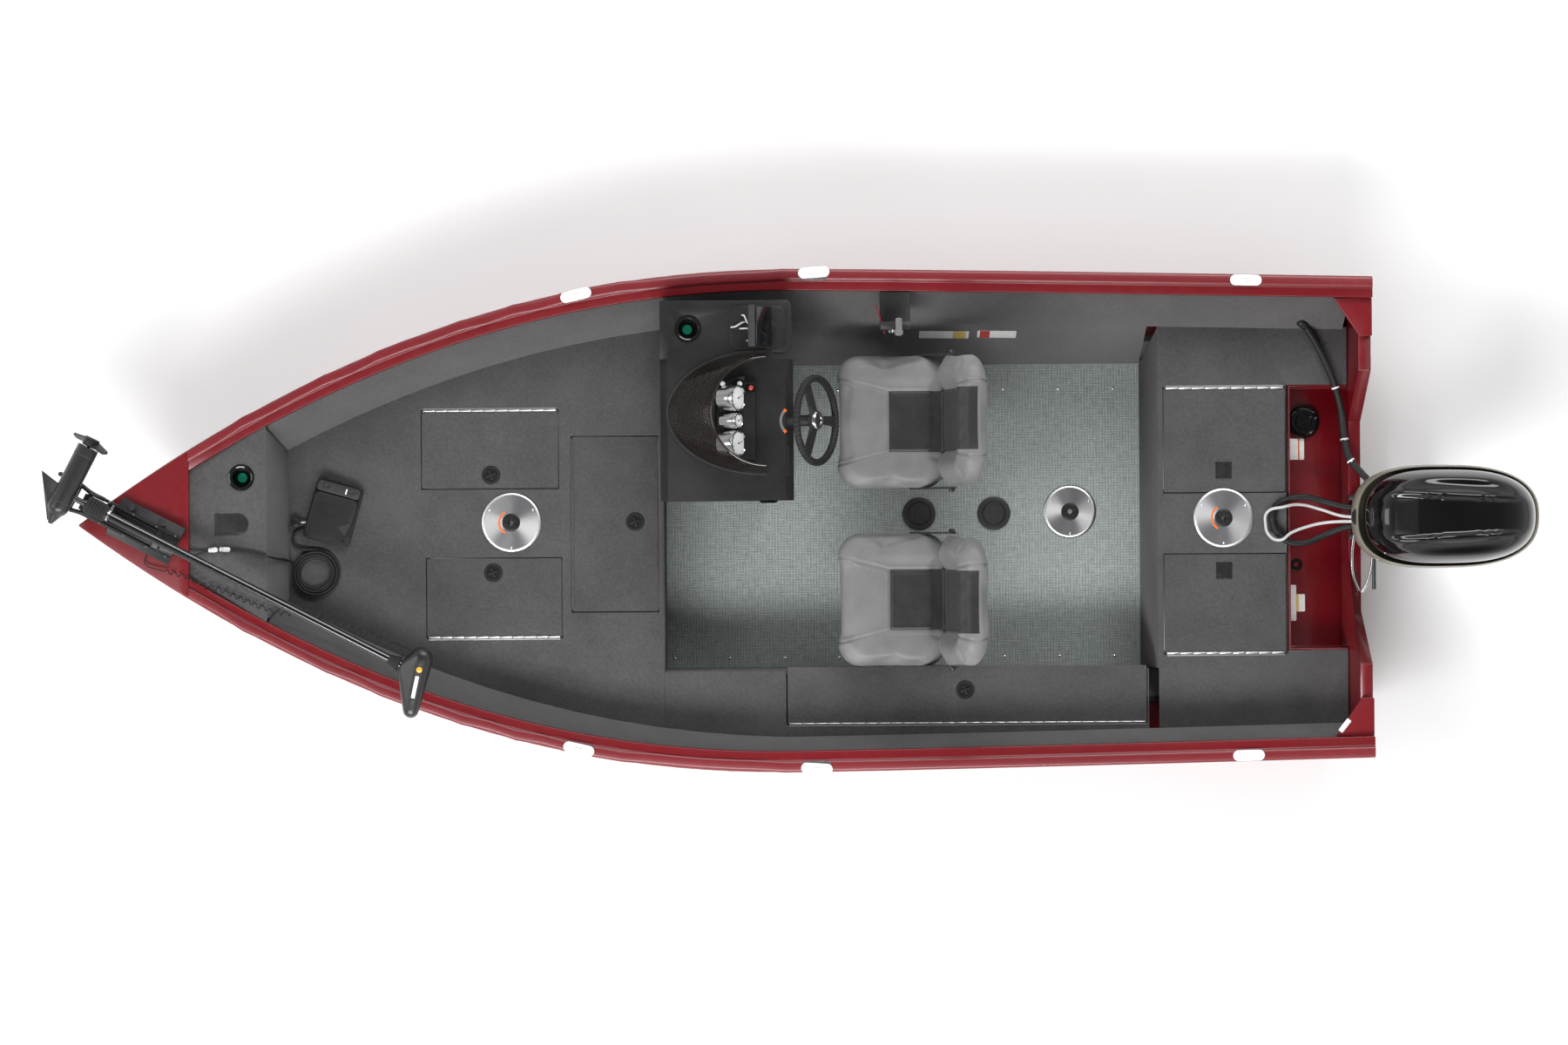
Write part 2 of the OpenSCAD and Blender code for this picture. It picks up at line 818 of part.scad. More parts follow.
// Padded back, upright about its hinge and leant aft
module seat_back(y) {
    color("gray")
        translate([seat_x + back_hinge_x, y, seat_z + back_hinge_z]) difference() {
            rotate([0, -back_lean, 0]) translate([back_ahead, 0, -back_foot])
                rotate([0, -90, 0]) rounded_slab(0, back_h, back_w, back_t, 60);
            for (side = [-1, 1])
                translate([0, side * (back_w / 2 + 1), 0])
                    rotate([side * 90, 0, 0]) cylinder(r = pin_r + fit, h = 24);
        }
}

module driver_seat_cushion() { seat_cushion(helm_y); }
module driver_seat_back() { seat_back(helm_y); }
module passenger_seat_cushion() { seat_cushion(passenger_y); }
module passenger_seat_back() { seat_back(passenger_y); }

// ---- outboard motor -------------------------------------------------------------------
tilt_x = transom_x - 40;
tilt_z = transom_z + 65;
steer_x = tilt_x - 75;
tube_r = 16;
arm_y = 78;
bar_x = tilt_x + 80;
clamp_foot = 60;

module clamp_bracket() {
    color("dimgray") {
        for (side = [-1, 1])
            translate([0, side * arm_y + 9, 0]) rotate([90, 0, 0]) linear_extrude(18)
                polygon([
                    [transom_x + transom_t + 2, transom_z + 2],
                    [transom_x + transom_t + 2, transom_z + 30],
                    [tilt_x + 30, tilt_z + 26], [tilt_x - 26, tilt_z + 26],
                    [tilt_x - 26, tilt_z - 26], [transom_x - 70, clamp_foot],
                    [transom_in(clamp_foot) - transom_t - seam, clamp_foot],
                    [transom_x - seam, transom_z + 2]
                ]);
        translate([bar_x - 40, -arm_y, transom_z + 2]) cube([40, 2 * arm_y, 36]);
        translate([tilt_x, -arm_y - 20, tilt_z]) rotate([-90, 0, 0])
            cylinder(r = tube_r, h = 2 * arm_y + 40);
        translate([tilt_x, arm_y + 20, tilt_z]) rotate([-90, 0, 0])
            cylinder(r = 8, h = 190);
    }
}

swivel_half = arm_y - 9 - 5;
swivel_low = 120;
swivel_high = tilt_z + 20;
pivot_r = 24;

module swivel_bracket() {
    color("dimgray") difference() {
        union() {
            translate([tilt_x, -swivel_half, tilt_z]) rotate([-90, 0, 0])
                cylinder(r = tube_r + 12, h = 2 * swivel_half);
            translate([steer_x, 0, swivel_low])
                cylinder(r = pivot_r + 14, h = swivel_high - swivel_low);
            translate([steer_x, -30, swivel_low + 60])
                cube([tilt_x - steer_x, 60, tilt_z - swivel_low - 60]);
        }
        translate([tilt_x, -swivel_half - 1, tilt_z]) rotate([-90, 0, 0])
            cylinder(r = tube_r + fit, h = 2 * swivel_half + 2);
        translate([steer_x, 0, swivel_low - 1])
            cylinder(r = pivot_r + fit, h = swivel_high - swivel_low + 2);
    }
}

cowl_fore = tilt_x + 125;
cowl_z = tilt_z + 105;

// Plan outline of the cowl: rounded nose forward, tapering aft
function cowl_plan(shrink, lift, k) = [for (i = [0:35])
    let (a = i * 10,
         len_x = cowl_len / 2 - shrink,
         w = cowl_w / 2 - shrink,
         cx = cos(a), sy = sin(a),
         ex = sign(cx) * pow(abs(cx), 0.7) * len_x * k,
         ey = sign(sy) * pow(abs(sy), 0.8) * w * k)
    [cowl_fore - cowl_len / 2 + ex, ey * (1 + 0.05 * cx), lift]];

cowl_levels = [[0, 0.93], [40, 0.98], [120, 1], [220, 0.97], [310, 0.9],
    [370, 0.78], [400, 0.55]];

module motor_cowl() {
    color("black") difference() {
        loft([for (l = cowl_levels) cowl_plan(0, cowl_z + 55 + l[0] * (cowl_h - 55) / 400, l[1])]);
        loft([for (l = cowl_levels)
            cowl_plan(12, cowl_z + 54 + l[0] * (cowl_h - 70) / 400, l[1])]);
    }
}

module motor_pan() {
    color("tan") difference() {
        loft([cowl_plan(60, cowl_z, 0.9), cowl_plan(10, cowl_z + 20, 0.93),
              cowl_plan(0, cowl_z + 54.5, 0.95)]);
        loft([cowl_plan(40, cowl_z + 30, 0.9), cowl_plan(30, cowl_z + 60, 0.9)]);
    }
}

module engine_block() {
    color("dimgray") translate([cowl_fore - cowl_len / 2 - 200, -105, cowl_z + 30.5])
        cube([440, 210, 270]);
}

leg_x = steer_x - 115;
plate_depth = -153;
shaft_z = plate_depth - 190;

module motor_leg() {
    color("dimgray") {
        translate([steer_x, 0, swivel_low - 30]) cylinder(r = pivot_r, h = swivel_high - swivel_low + 60);
        for (z = [swivel_low - 30, swivel_high + 5]) hull() {
            translate([steer_x, 0, z]) cylinder(r = 36, h = 25, $fn = 32);
            translate([leg_x, 0, z]) cylinder(r = 50, h = 25, $fn = 32);
        }
        hull() {
            translate([leg_x + 20, 0, plate_depth]) cylinder(r = 26, h = cowl_z - plate_depth, $fn = 32);
            translate([leg_x - 70, 0, plate_depth]) cylinder(r = 18, h = cowl_z - plate_depth, $fn = 32);
        }
    }
}

prop_x = leg_x - 190;
prop_shaft_r = 12;

module gearcase() {
    color("dimgray") {
        // Anti-ventilation plate
        translate([0, 0, plate_depth - 12]) linear_extrude(12) hull() {
            translate([leg_x + 70, 0]) circle(r = 20);
            translate([leg_x - 160, 0]) circle(r = 95);
        }
        hull() {
            translate([leg_x + 20, 0, shaft_z]) cylinder(r = 24, h = plate_depth - 12 - shaft_z, $fn = 32);
            translate([leg_x - 60, 0, shaft_z]) cylinder(r = 14, h = plate_depth - 12 - shaft_z, $fn = 32);
        }
        difference() {
            translate([leg_x + 80, 0, shaft_z]) rotate([0, -90, 0]) cylinder(r = 48, h = 220);
            translate([leg_x - 141, 0, shaft_z]) rotate([0, 90, 0])
                cylinder(r = prop_shaft_r + fit, h = 71);
        }
        translate([leg_x + 80, 0, shaft_z]) sphere(r = 48);
        // Skeg
        translate([0, 5, 0]) rotate([90, 0, 0]) linear_extrude(10) polygon([
            [leg_x + 40, shaft_z - 40], [leg_x - 20, shaft_z - 180],
            [leg_x - 110, shaft_z - 180], [leg_x - 110, shaft_z - 40]
        ]);
    }
}

// Three pitched blades on a hub that tapers aft
module propeller() {
    tip_r = 62;
    color("black") translate([prop_x, 0, shaft_z]) rotate([0, 90, 0]) {
        translate([0, 0, -60]) cylinder(r = 38, h = 105);
        cylinder(r = prop_shaft_r, h = 115);
        for (a = [0, 120, 240]) rotate([0, 0, a])
            translate([30, 0, -10]) rotate([28, 0, 0])
                translate([0, 0, -4]) linear_extrude(8) hull() {
                    circle(r = 25, $fn = 32);
                    translate([prop_d / 2 - 30 - tip_r, 0]) circle(r = tip_r, $fn = 32);
                }
    }
}

// ---- trolling motor -------------------------------------------------------------------
// Plan direction from the lower unit towards the head, when stowed
stow_angle = 180 - 27.43;
bow_pivot = [bow_length - 38, -88, 690];
shaft_up = 55;
pod_ahead = 79;
// How far the middle of the lower unit lies to one side of the shaft
pod_offset = 50;

// Frame with X along the shaft towards the head and the pivot at the origin
module trolling_frame() {
    translate(bow_pivot) rotate([0, 0, stow_angle]) children();
}

module trolling_mount() {
    color("dimgray") difference() {
        trolling_frame() {
            for (y = [-50, 38])
                translate([0, y, -14]) cube([mount_len, 12, 32]);
            translate([120, -mount_port, -62])
                cube([mount_len - 120, mount_port + mount_starboard, 56]);
            translate([0, -50, 0]) rotate([-90, 0, 0]) cylinder(r = arm_pin_r, h = 100);
        }
        bow_cap();
        translate([platform_x, -half_beam, 0]) cube([cap_x - platform_x, 2 * half_beam, platform_z]);
    }
}

mount_len = 390;
mount_port = 72;
mount_starboard = 85;
arm_pin_r = 8;
collar_x = 15;
collar_len = 90;
shaft_clear = 5;

// Swinging arm with the collar that grips the shaft
module trolling_arm() {
    color("black") trolling_frame() difference() {
        union() {
            translate([0, -33, 0]) rotate([-90, 0, 0]) cylinder(r = 18, h = 66);
            translate([0, -33, -1]) cube([300, 66, 20]);
            translate([collar_x, 0, shaft_up]) rotate([0, 90, 0])
                cylinder(r = 30, h = collar_len);
            translate([collar_x, -28, 10]) cube([collar_len, 56, 40]);
        }
        translate([0, -57, 0]) rotate([-90, 0, 0]) cylinder(r = arm_pin_r + fit, h = 114);
        translate([0, 0, shaft_up]) rotate([0, 90, 0])
            cylinder(r = tube_outer_r + fit, h = collar_x + collar_len + 20);
    }
}

tube_outer_r = 17;
rod_r = 12;
rod_len = 600;
head_at = trolling_len - pod_ahead;

module trolling_tube() {
    color("black") trolling_frame()
        translate([collar_x - 5, 0, shaft_up]) rotate([0, 90, 0]) difference() {
            cylinder(r = tube_outer_r, h = head_at - 70 - collar_x + 5);
            translate([0, 0, -1]) cylinder(r = rod_r + fit, h = rod_len);
        }
}

module trolling_head() {
    color("black") trolling_frame() translate([head_at, 0, shaft_up]) hull() {
        translate([-70, 0, 0]) rotate([0, 90, 0]) cylinder(r = 30, h = 10, $fn = 24);
        translate([-8, 62, 22]) sphere(r = 46, $fn = 20);
        translate([45, -138, 8]) sphere(r = 32, $fn = 20);
    }
}

// Lower unit across the foot of the inner shaft, with its nose to port
module trolling_pod() {
    nose_y = pod_len / 2 - 45;
    color("black") trolling_frame() translate([-pod_ahead, pod_offset, shaft_up]) difference() {
        union() {
            translate([0, pod_len / 2, 0]) rotate([90, 0, 0])
                cylinder(d = pod_d, h = pod_len / 2 + nose_y);
            translate([0, -nose_y, 0]) sphere(d = pod_d);
            translate([0, -nose_y, 0]) rotate([90, 0, 0])
                cylinder(d1 = pod_d, d2 = 16, h = 75);
            translate([0, -pod_offset, 0]) rotate([0, 90, 0]) cylinder(r = rod_r, h = rod_len);
            linear_extrude(skeg_t, center = true) polygon([
                [-20, -30], [-skeg_reach, -11], [-16, -nose_y - 66], [0, -nose_y - 68]
            ]);
        }
        translate([0, pod_len / 2 + 1, 0]) rotate([90, 0, 0])
            cylinder(r = prop_pin_r + fit, h = 46);
    }
}

skeg_t = 8;
skeg_reach = 121;
prop_pin_r = 6;

// Two swept blades on a short hub
module trolling_propeller() {
    blade_tip_r = 14;
    color("black") trolling_frame()
        translate([-pod_ahead, pod_offset + pod_len / 2 + 5, shaft_up]) rotate([-90, 0, 0]) {
            cylinder(r = 30, h = 34);
            translate([0, 0, -45]) cylinder(r = prop_pin_r, h = 46);
            for (a = [-35, 145]) rotate([0, 0, a])
                translate([20, 0, 17]) rotate([30, 0, 0]) linear_extrude(6, center = true)
                    hull() {
                        translate([4, 0]) circle(r = 20, $fn = 32);
                        translate([trolling_prop_d / 2 - 20 - blade_tip_r, -14])
                            circle(r = blade_tip_r, $fn = 32);
                    }
        }
}

pedal_at = [riser_foot - 180, -43, deck_z];

// Foot pedal on its base plate, with a button on a rod
module foot_pedal() {
    color("black") translate(pedal_at) rotate([0, 0, -16]) {
        translate([-95, -125, 0]) cube([190, 250, 18]);
        translate([0, 0, 26]) rotate([-5, 0, 0]) translate([-88, -118, 0]) cube([176, 230, 20]);
        translate([-15, -10, 10]) cube([30, 20, 25]);
        translate([90, 60, 14]) rotate([0, 90, 16]) cylinder(r = 4, h = 45);
        translate([135, 78, 0]) cylinder(r = 24, h = 26);
    }
}

// ---- cords -----------------------------------------------------------------------------
// Point on the smooth curve through p, at t along the stretch after point i
function along(p, i, t) =
    let (n = len(p) - 1, a = p[max(i - 1, 0)], b = p[i], c = p[min(i + 1, n)],
         d = p[min(i + 2, n)])
    0.5 * ((2 * b) + (c - a) * t + (2 * a - 5 * b + 4 * c - d) * t * t
        + (3 * b - a - 3 * c + d) * t * t * t);
function curve(p, per) = concat(
    [for (i = [0:len(p) - 2]) for (k = [0:per - 1]) along(p, i, k / per)],
    [p[len(p) - 1]]
);
function unit(v) = v / norm(v);

// Tube of diameter d swept along the curve through points p
module cord(p, d, per = 3, sides = 8) {
    c = curve(p, per);
    n = len(c) - 1;
    loft([for (i = [0:n])
        let (u = unit(c[min(i + 1, n)] - c[max(i - 1, 0)]),
             side = unit(cross(u, [0, 0, 1])), up = cross(side, u))
        [for (k = [0:sides - 1]) let (a = 360 * (k + 0.5) / sides)
            c[i] + d / 2 / cos(180 / sides) * (cos(a) * side + sin(a) * up)]
    ]);
}

pedal_cable_d = 10;
curly_d = 20;
control_d = 30;
harness_d = 28;
grey_hose_d = 12;

// Routes of the cords, from end to end
mount_to_coil = [
    [2383, 111, 668], [2356, 124, 666], [2322, 126, 656], [2285, 113, 636],
    [2244, 101, 627], [2152, 97, 626], [2070, 112, 627], [2042, 121, 629],
    [2022, 127, 624], [2013, 131, 604], [1999, 138, 500], [1980, 145, 395],
    [1966, 156, 359], [1952, 176, 358]
];
coil_to_pedal = [
    [1885, 103, 366], [1920, 101, 361], [1952, 86, 357], [1962, 56, 356],
    [1946, 30, 358], [1912, 20, 362]
];
mount_to_head = [
    [2487, 117, 677], [2500, 140, 676], [2487, 161, 676], [2455, 172, 675],
    [2400, 185, 673], [2345, 202, 670], [2300, 222, 655], [2250, 242, 641],
    [2202, 258, 635], [2130, 290, 634], [2055, 322, 635], [1990, 346, 622],
    [1940, 352, 600], [1880, 354, 584], [1800, 372, 572], [1745, 394, 570],
    [1680, 418, 574], [1598, 444, 592], [1530, 468, 622], [1478, 489, 652],
    [1436, 507, 678], [1412, 517, 709]
];
grommet_to_tilt_tube = [
    [-2058, -784, 390], [-2085, -762, 372], [-2125, -700, 367], [-2165, -620, 368],
    [-2200, -530, 372], [-2226, -430, 368], [-2236, -330, 370], [-2252, -240, 386],
    [-2300, -175, 404], [-2334, -135, 416], [-2345, -98, 420]
];
harness_loop = [
    [-2265, -38, 374], [-2225, -44, 366], [-2160, -62, 350], [-2080, -82, 362],
    [-2010, -72, 368], [-1962, -40, 366], [-1950, 8, 366], [-1968, 60, 366],
    [-2020, 100, 368], [-2090, 100, 360], [-2160, 72, 348], [-2225, 46, 362],
    [-2265, 38, 374]
];
grey_loop = [
    [-2265, 0, 374], [-2220, -6, 360], [-2150, -30, 330], [-2070, -50, 344],
    [-1990, -42, 388], [-1928, -20, 360], [-1922, 25, 357], [-1935, 70, 362],
    [-1975, 90, 388], [-2020, 62, 380], [-2080, 40, 362], [-2150, 24, 344],
    [-2220, 18, 362], [-2265, 18, 374]
];
coil_at = [1873, 200, deck_z];
coil_outer = 104;
coil_inner = 54;
coil_h = 26;

module pedal_cable() {
    color("black") {
        cord(mount_to_coil, pedal_cable_d);
        cord(coil_to_pedal, pedal_cable_d);
    }
}

module pedal_cable_coil() {
    color("black") translate(coil_at) rotate_extrude($fn = 64) translate([coil_inner, 0])
        square([coil_outer - coil_inner, coil_h]);
}

module curly_cord() {
    color("black") cord(mount_to_head, curly_d, per = 2);
}

module control_cable() {
    color("black") cord(grommet_to_tilt_tube, control_d, sides = 10);
}

module rigging_hoses() {
    color("black") cord(harness_loop, harness_d, sides = 10);
    color("gray") cord(grey_loop, grey_hose_d);
}

hull_bottom();
hull_side_port();
hull_side_starboard();
bow_stem();
transom();
gunwale_port();
gunwale_starboard();
bow_cap();
transom_caps();
side_liner_port();
side_liner_starboard();
cockpit_floor();
casting_deck();
bow_platform();
storage_bins();
rod_locker();
aft_deck();
splash_well();
bow_hatch_starboard();
bow_hatch_port();
bow_hatch_centre();
rod_locker_lid();
aft_hatch_starboard();
aft_hatch_port();
seat_bases();
floor_caps();
cup_holders();
cleats();
console_body();
dash_panel();
windscreen();
display_unit();
steering_column();
steering_wheel();
throttle_control();
seat_posts();
driver_seat_cushion();
driver_seat_back();
passenger_seat_cushion();
passenger_seat_back();
clamp_bracket();
swivel_bracket();
motor_cowl();
motor_pan();
engine_block();
motor_leg();
gearcase();
propeller();
trolling_mount();
trolling_arm();
trolling_tube();
trolling_head();
trolling_pod();
trolling_propeller();
foot_pedal();
pedal_cable();
pedal_cable_coil();
curly_cord();
control_cable();
rigging_hoses();
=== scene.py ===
import json
import math

import bmesh
import bpy
from mathutils import Matrix, Vector


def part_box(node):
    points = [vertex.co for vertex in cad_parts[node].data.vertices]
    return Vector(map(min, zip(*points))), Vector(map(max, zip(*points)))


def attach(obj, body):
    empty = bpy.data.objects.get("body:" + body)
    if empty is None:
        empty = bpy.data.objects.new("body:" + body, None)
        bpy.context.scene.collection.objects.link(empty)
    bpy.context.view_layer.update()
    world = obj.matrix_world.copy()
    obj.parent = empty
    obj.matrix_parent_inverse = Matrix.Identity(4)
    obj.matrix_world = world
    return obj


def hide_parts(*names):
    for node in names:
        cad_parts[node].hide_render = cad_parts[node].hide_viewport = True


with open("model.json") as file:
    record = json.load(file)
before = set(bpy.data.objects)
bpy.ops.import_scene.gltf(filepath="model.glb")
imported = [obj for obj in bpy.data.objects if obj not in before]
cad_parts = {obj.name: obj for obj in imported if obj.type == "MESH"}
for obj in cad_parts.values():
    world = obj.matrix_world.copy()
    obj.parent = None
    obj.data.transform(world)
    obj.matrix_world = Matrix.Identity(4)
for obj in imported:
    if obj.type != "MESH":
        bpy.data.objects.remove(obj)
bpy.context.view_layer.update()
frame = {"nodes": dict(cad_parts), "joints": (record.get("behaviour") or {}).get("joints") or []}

nodes = frame["nodes"]
scene = bpy.context.scene


# ---- places taken from the frame
deck_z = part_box("casting_deck")[1].z
floor_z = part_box("cockpit_floor")[1].z
platform_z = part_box("bow_platform")[1].z
console_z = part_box("console_body")[1].z
joint = {j["name"]: j for j in frame["joints"]}


def pivot(name):
    return Vector(joint[name]["pos_m"])


# ---- camera
camera_height = 14.0
lens_mm = 78.4
roll_degrees = 0.38
camera_data = bpy.data.cameras.new("camera")
camera_data.lens = lens_mm
camera_data.sensor_width = 36
camera = bpy.data.objects.new("camera", camera_data)
camera.location = (0, 0.007, camera_height)
camera.rotation_euler = (0, 0, math.radians(180 - roll_degrees))
scene.collection.objects.link(camera)
scene.camera = camera


def mesh_of(bm, name):
    mesh = bpy.data.meshes.new(name)
    bmesh.ops.recalc_face_normals(bm, faces=bm.faces)
    bm.to_mesh(mesh)
    bm.free()
    return mesh


def smooth_all(mesh):
    mesh.polygons.foreach_set("use_smooth", [True] * len(mesh.polygons))


def piece(name, bm, material, body="hull", angle=35):
    """Piece that rides on a body, smooth except at edges sharper than the angle."""
    mesh = mesh_of(bm, name)
    mesh.materials.append(material)
    smooth_all(mesh)
    bm = bmesh.new()
    bm.from_mesh(mesh)
    for edge in bm.edges:
        if len(edge.link_faces) == 2:
            edge.smooth = edge.calc_face_angle(0) < math.radians(angle)
    bm.to_mesh(mesh)
    bm.free()
    thing = bpy.data.objects.new(name, mesh)
    scene.collection.objects.link(thing)
    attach(thing, body)
    return thing


def add_box(bm, size, matrix=Matrix(), bevel=0.0, segments=2):
    """Box of that size about the origin, with rounded edges."""
    made = bmesh.ops.create_cube(bm, size=1)["verts"]
    for v in made:
        v.co = matrix @ Vector(a * b for a, b in zip(v.co, size))
    if bevel:
        bm.normal_update()
        edges = {e for v in made for e in v.link_edges}
        bmesh.ops.bevel(bm, geom=list(edges), offset=bevel, segments=segments, profile=0.6,
                        affect="EDGES")


def add_lathe(bm, profile, matrix=Matrix(), sides=48, sweep=math.tau):
    """Turned shape about Z from (radius, height) points. Radius zero closes an end."""
    rings = []
    count = sides if abs(sweep - math.tau) < 1e-6 else sides + 1
    for radius, height in profile:
        if radius <= 1e-6:
            rings.append([bm.verts.new(matrix @ Vector((0, 0, height)))])
        else:
            rings.append([bm.verts.new(matrix @ Vector((
                radius * math.cos(sweep * k / sides), radius * math.sin(sweep * k / sides), height)))
                for k in range(count)])
    wrap = count == sides
    for a, b in zip(rings, rings[1:]):
        for k in range(sides):
            j = (k + 1) % sides if wrap else k + 1
            if len(a) == 1 and len(b) == 1:
                continue
            if len(a) == 1:
                bm.faces.new([a[0], b[j], b[k]])
            elif len(b) == 1:
                bm.faces.new([a[k], a[j], b[0]])
            else:
                bm.faces.new([a[k], a[j], b[j], b[k]])


def add_tube(bm, points, radius, sides=10):
    """Tube along points; radius may be a number or a function of the share along it."""
    points = [Vector(p) for p in points]
    n = len(points) - 1
    side = None
    rings = []
    for i, p in enumerate(points):
        along = (points[min(i + 1, n)] - points[max(i - 1, 0)]).normalized()
        if side is None:
            side = along.orthogonal().normalized()
        side = (side - along * side.dot(along)).normalized()
        up = along.cross(side)
        r = radius(i / n) if callable(radius) else radius
        rings.append([bm.verts.new(p + r * (math.cos(math.tau * k / sides) * side
                                           + math.sin(math.tau * k / sides) * up))
                      for k in range(sides)])
    for a, b in zip(rings, rings[1:]):
        for k in range(sides):
            bm.faces.new([a[k], a[(k + 1) % sides], b[(k + 1) % sides], b[k]])
    bm.faces.new(rings[0][::-1])
    bm.faces.new(rings[-1])


def add_prism(bm, outline, z0, z1, matrix=Matrix(), bevel=0.0, segments=2):
    """Plan outline between two heights, with its top edge rounded."""
    low = [bm.verts.new(matrix @ Vector((x, y, z0))) for x, y in outline]
    high = [bm.verts.new(matrix @ Vector((x, y, z1))) for x, y in outline]
    n = len(outline)
    bm.faces.new(low[::-1])
    top = bm.faces.new(high)
    for k in range(n):
        bm.faces.new([low[k], low[(k + 1) % n], high[(k + 1) % n], high[k]])
    if bevel:
        bmesh.ops.bevel(bm, geom=list(top.edges), offset=bevel, segments=segments, profile=0.6,
                        affect="EDGES")


def lofted(bm, rings, cap_first=True, cap_last=True):
    """Skin through closed rings of points."""
    rows = [[bm.verts.new(p[:3]) for p in ring] for ring in rings]
    n = len(rows[0])
    for a, b in zip(rows, rows[1:]):
        for k in range(n):
            bm.faces.new([a[k], a[(k + 1) % n], b[(k + 1) % n], b[k]])
    if cap_first:
        bm.faces.new(rows[0][::-1])
    if cap_last:
        bm.faces.new(rows[-1])


def strip(bm, rows):
    """Skin through open rows of vertices."""
    for a, b in zip(rows, rows[1:]):
        for k in range(len(a) - 1):
            bm.faces.new([a[k], a[k + 1], b[k + 1], b[k]])


def rounded_outline(x0, x1, y0, y1, r, steps=6):
    """Rectangle in plan with round corners, counter-clockwise."""
    corners = [(x1 - r, y1 - r, 0), (x0 + r, y1 - r, 90), (x0 + r, y0 + r, 180), (x1 - r, y0 + r, 270)]
    return [(cx + r * math.cos(math.radians(a + 90 * k / steps)),
             cy + r * math.sin(math.radians(a + 90 * k / steps)))
            for cx, cy, a in corners for k in range(steps + 1)]


def spin(degrees, axis):
    return Matrix.Rotation(math.radians(degrees), 4, axis)


def moved(frame_at, *points):
    """Points of a local frame, in the shared frame."""
    return [frame_at @ Vector(p) for p in points]


def at(x, y, z, turn=0.0):
    return Matrix.Translation((x, y, z)) @ spin(turn, "Z")


def smooth_curve(points, per=8):
    """Catmull-Rom points through the given ones."""
    p = [Vector(q) for q in points]
    n = len(p) - 1
    out = []
    for i in range(n):
        a, b, c, d = p[max(i - 1, 0)], p[i], p[i + 1], p[min(i + 2, n)]
        for k in range(per):
            t = k / per
            out.append(0.5 * (2 * b + (c - a) * t + (2 * a - 5 * b + 4 * c - d) * t ** 2
                              + (3 * b - a - 3 * c + d) * t ** 3))
    return out + [p[-1]]


def length_of(points):
    return sum((Vector(b) - Vector(a)).length for a, b in zip(points, points[1:]))


def metres(route):
    return [Vector(p) / 1000 for p in route]


# ---- materials
class Shader:
    """Principled material with a small node-writing shorthand."""

    def __init__(self, name, roughness=0.5, metallic=0.0, **sockets):
        self.material = bpy.data.materials.new(name)
        self.material.use_nodes = True
        self.tree = self.material.node_tree
        self.bsdf = self.tree.nodes["Principled BSDF"]
        self.bsdf.inputs["Roughness"].default_value = roughness
        self.bsdf.inputs["Metallic"].default_value = metallic
        for key, value in sockets.items():
            self.bsdf.inputs[key.replace("_", " ")].default_value = value
        self.place = self.node("ShaderNodeTexCoord").outputs["Object"]

    def node(self, kind, **values):
        made = self.tree.nodes.new(kind)
        for key, value in values.items():
            if hasattr(made, key):
                setattr(made, key, value)
            else:
                made.inputs[key.replace("_", " ")].default_value = value
        return made

    def link(self, a, b):
        self.tree.links.new(a, b)

    def scaled(self, factors):
        mapping = self.node("ShaderNodeMapping")
        mapping.inputs["Scale"].default_value = factors
        self.link(self.place, mapping.inputs["Vector"])
        return mapping.outputs["Vector"]

    def noise(self, scale, detail=3.0, roughness=0.5, vector=None):
        made = self.node("ShaderNodeTexNoise", Scale=scale, Detail=detail, Roughness=roughness)
        self.link(vector or self.place, made.inputs["Vector"])
        return made.outputs["Fac"]

    def cells(self, scale, feature="F1"):
        made = self.node("ShaderNodeTexVoronoi", feature=feature, Scale=scale)
        self.link(self.place, made.inputs["Vector"])
        return made.outputs["Distance"]

    def ramp(self, value, stops):
        made = self.node("ShaderNodeValToRGB")
        band = made.color_ramp
        while len(band.elements) < len(stops):
            band.elements.new(0.5)
        for element, (place, colour) in zip(band.elements, stops):
            element.position = place
            element.color = (*colour, 1)
        self.link(value, made.inputs["Fac"])
        return made.outputs["Color"]

    def span(self, value, low, high, start=0.0, end=1.0):
        made = self.node("ShaderNodeMapRange")
        for key, v in (("From Min", start), ("From Max", end), ("To Min", low), ("To Max", high)):
            made.inputs[key].default_value = v
        self.link(value, made.inputs["Value"])
        return made.outputs["Result"]

    def maths(self, operation, a, b=None):
        made = self.node("ShaderNodeMath", operation=operation)
        for i, v in enumerate((a, b)):
            if v is None:
                continue
            if isinstance(v, (int, float)):
                made.inputs[i].default_value = v
            else:
                self.link(v, made.inputs[i])
        return made.outputs[0]

    def mix(self, factor, a, b):
        made = self.node("ShaderNodeMix", data_type="RGBA")
        self.link(factor, made.inputs[0])
        for socket, v in ((6, a), (7, b)):
            if isinstance(v, tuple):
                made.inputs[socket].default_value = (*v, 1)
            else:
                self.link(v, made.inputs[socket])
        return made.outputs[2]

    def colour(self, output):
        self.link(output, self.bsdf.inputs["Base Color"])

    def rough(self, output):
        self.link(output, self.bsdf.inputs["Roughness"])

    def bump(self, height, distance, strength=1.0):
        made = self.node("ShaderNodeBump", Strength=strength, Distance=distance)
        self.link(height, made.inputs["Height"])
        previous = self.bsdf.inputs["Normal"]
        if previous.is_linked:
            self.link(previous.links[0].from_socket, made.inputs["Normal"])
        self.link(made.outputs["Normal"], self.bsdf.inputs["Normal"])


def edge_wear(s, amount=1.0):
    """Share of wear on convex edges, broken up by noise."""
    point = s.node("ShaderNodeNewGeometry").outputs["Pointiness"]
    edges = s.span(point, 0.0, 1.0, 0.515, 0.58)
    return s.maths("MULTIPLY", s.maths("MULTIPLY", edges, s.noise(38, 4)), amount)


